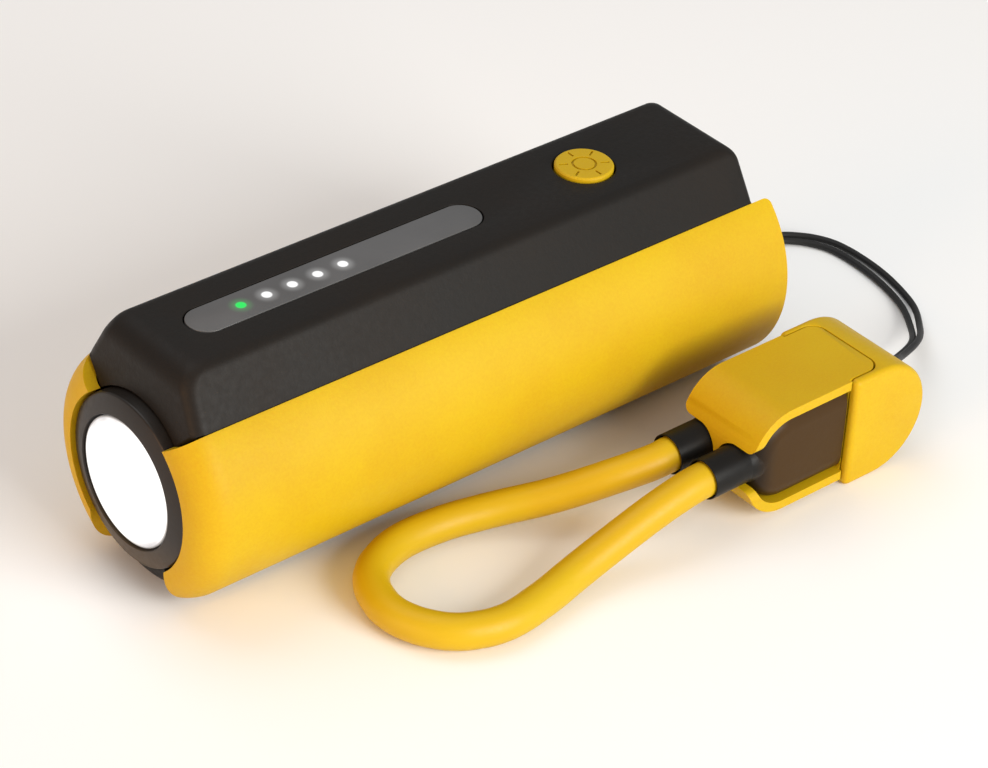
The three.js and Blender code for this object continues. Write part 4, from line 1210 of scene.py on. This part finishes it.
class STARTER_OT_cords(Operator):
    """Lays the cable loop and the two lanyard strands"""

    bl_idname = "starter_pack.cords"
    bl_label = "Lay cords"

    def execute(self, context):
        size = sizes()
        lay_cord("cable_jacket", "cable_loop", "cable_holder", "cable_yellow", CABLE_ROUTE, size.cable_diameter, 8,
                 far_end="plug", stiffness="medium", with_pieces=["plug_grip_far", "plug_b_shell"])
        for index, side in ((1, 1), (2, -1)):
            lay_cord(f"lanyard_cord_{index}", f"lanyard_strand_{index}", "pack", "lanyard_black",
                     lanyard_route(side), size.lanyard_diameter, 5, far_end="object", stiffness="limp")
        return DONE


# Stage
AIM = (0.01, -0.01, 0.015)
FLOOR_HALF = 3000


def soft_light(name, place, size, power, colour):
    """Square area light turned towards the part."""
    light = bpy.data.lights.new(name, "AREA")
    light.shape = "SQUARE"
    light.size = size
    light.energy = power
    light.color = colour
    lamp = shown(name, light)
    lamp.location = place
    lamp.rotation_mode = "QUATERNION"
    lamp.rotation_quaternion = (Vector(AIM) - Vector(place)).to_track_quat("-Z", "Y")


class STARTER_OT_camera(Operator):
    """Sets the camera"""

    bl_idname = "starter_pack.camera"
    bl_label = "Set camera"

    def execute(self, context):
        camera = bpy.data.cameras.new("view")
        camera.sensor_width = 36
        camera.lens = 128.68
        camera.clip_start, camera.clip_end = 0.01, 20
        holder = shown("view", camera)
        right = Vector((0.765962, -0.641196, 0.046581))
        up = Vector((0.337521, 0.462748, 0.819722))
        back = Vector((-0.547158, -0.612153, 0.570865))
        turn = Matrix((right, up, back)).transposed().to_4x4()
        holder.matrix_world = Matrix.Translation((-0.3067, -0.3591, 0.3431)) @ turn
        bpy.context.scene.camera = holder
        return DONE


class STARTER_OT_stage(Operator):
    """Sets the floor and the soft lights"""

    bl_idname = "starter_pack.stage"
    bl_label = "Set stage"

    def execute(self, context):
        scene = bpy.context.scene
        scene.view_settings.view_transform = "Standard"
        corners = [(x * FLOOR_HALF, y * FLOOR_HALF, 0) for x, y in ((-1, -1), (1, -1), (1, 1), (-1, 1))]
        floor = new_piece("floor", corners, [(0, 1, 2, 3)])
        w, shader, vector = finish_tree("floor_paper")
        paper = tuple(colours().floor)
        w.fill(shader, {"Base Color": w.mix(w.noise(vector, 6), shade(paper), shade(paper, 0.985)), "Roughness": 0.9,
                        "Specular IOR Level": 0.1})
        floor.data.materials.append(FINISHES["floor_paper"])
        world = bpy.data.worlds.new("studio")
        world.use_nodes = True
        sky = world.node_tree.nodes["Background"]
        sky.inputs["Color"].default_value = WHITE
        sky.inputs["Strength"].default_value = 0.4
        scene.world = world
        soft_light("key", (0.12, -0.85, 0.36), 0.55, 9.4, (1, 0.985, 0.94))
        soft_light("front_fill", (-0.85, -0.1, 0.2), 0.5, 4.2, (1, 0.56, 0.26))
        soft_light("top", (-0.1, 0.35, 0.9), 0.7, 2.2, (0.97, 0.99, 1))
        return DONE


# Panel and registration
BUILD_ORDER = [
    STARTER_OT_camera, STARTER_OT_finishes, STARTER_OT_grips, STARTER_OT_cords, STARTER_OT_covers,
    STARTER_OT_housing, STARTER_OT_rail, STARTER_OT_torch, STARTER_OT_window, STARTER_OT_button,
    STARTER_OT_rear, STARTER_OT_screws, STARTER_OT_dock_cap, STARTER_OT_dock_tray, STARTER_OT_stage,
]


class STARTER_PT_panel(Panel):
    """Lists the sizes, colours and build steps"""

    bl_idname = "STARTER_PT_panel"
    bl_label = "Starter pack"
    bl_space_type = "VIEW_3D"
    bl_region_type = "UI"
    bl_category = "Starter pack"

    def draw(self, context):
        layout = self.layout
        for group in (context.scene.starter_pack_sizes, context.scene.starter_pack_colours):
            column = layout.column(align=True)
            for key in group.__annotations__:
                column.prop(group, key)
        column = layout.column()
        for step in BUILD_ORDER:
            column.operator(step.bl_idname)


CLASSES = [PackSizes, PackColours, *BUILD_ORDER, STARTER_PT_panel]


def register():
    for cls in CLASSES:
        bpy.utils.register_class(cls)
    bpy.types.Scene.starter_pack_sizes = PointerProperty(type=PackSizes)
    bpy.types.Scene.starter_pack_colours = PointerProperty(type=PackColours)


def unregister():
    del bpy.types.Scene.starter_pack_colours
    del bpy.types.Scene.starter_pack_sizes
    for cls in reversed(CLASSES):
        bpy.utils.unregister_class(cls)


def main():
    register()
    steps = bpy.ops.starter_pack
    for step in BUILD_ORDER:
        getattr(steps, step.bl_idname.split(".")[1])()


if __name__ == "__main__":
    main()
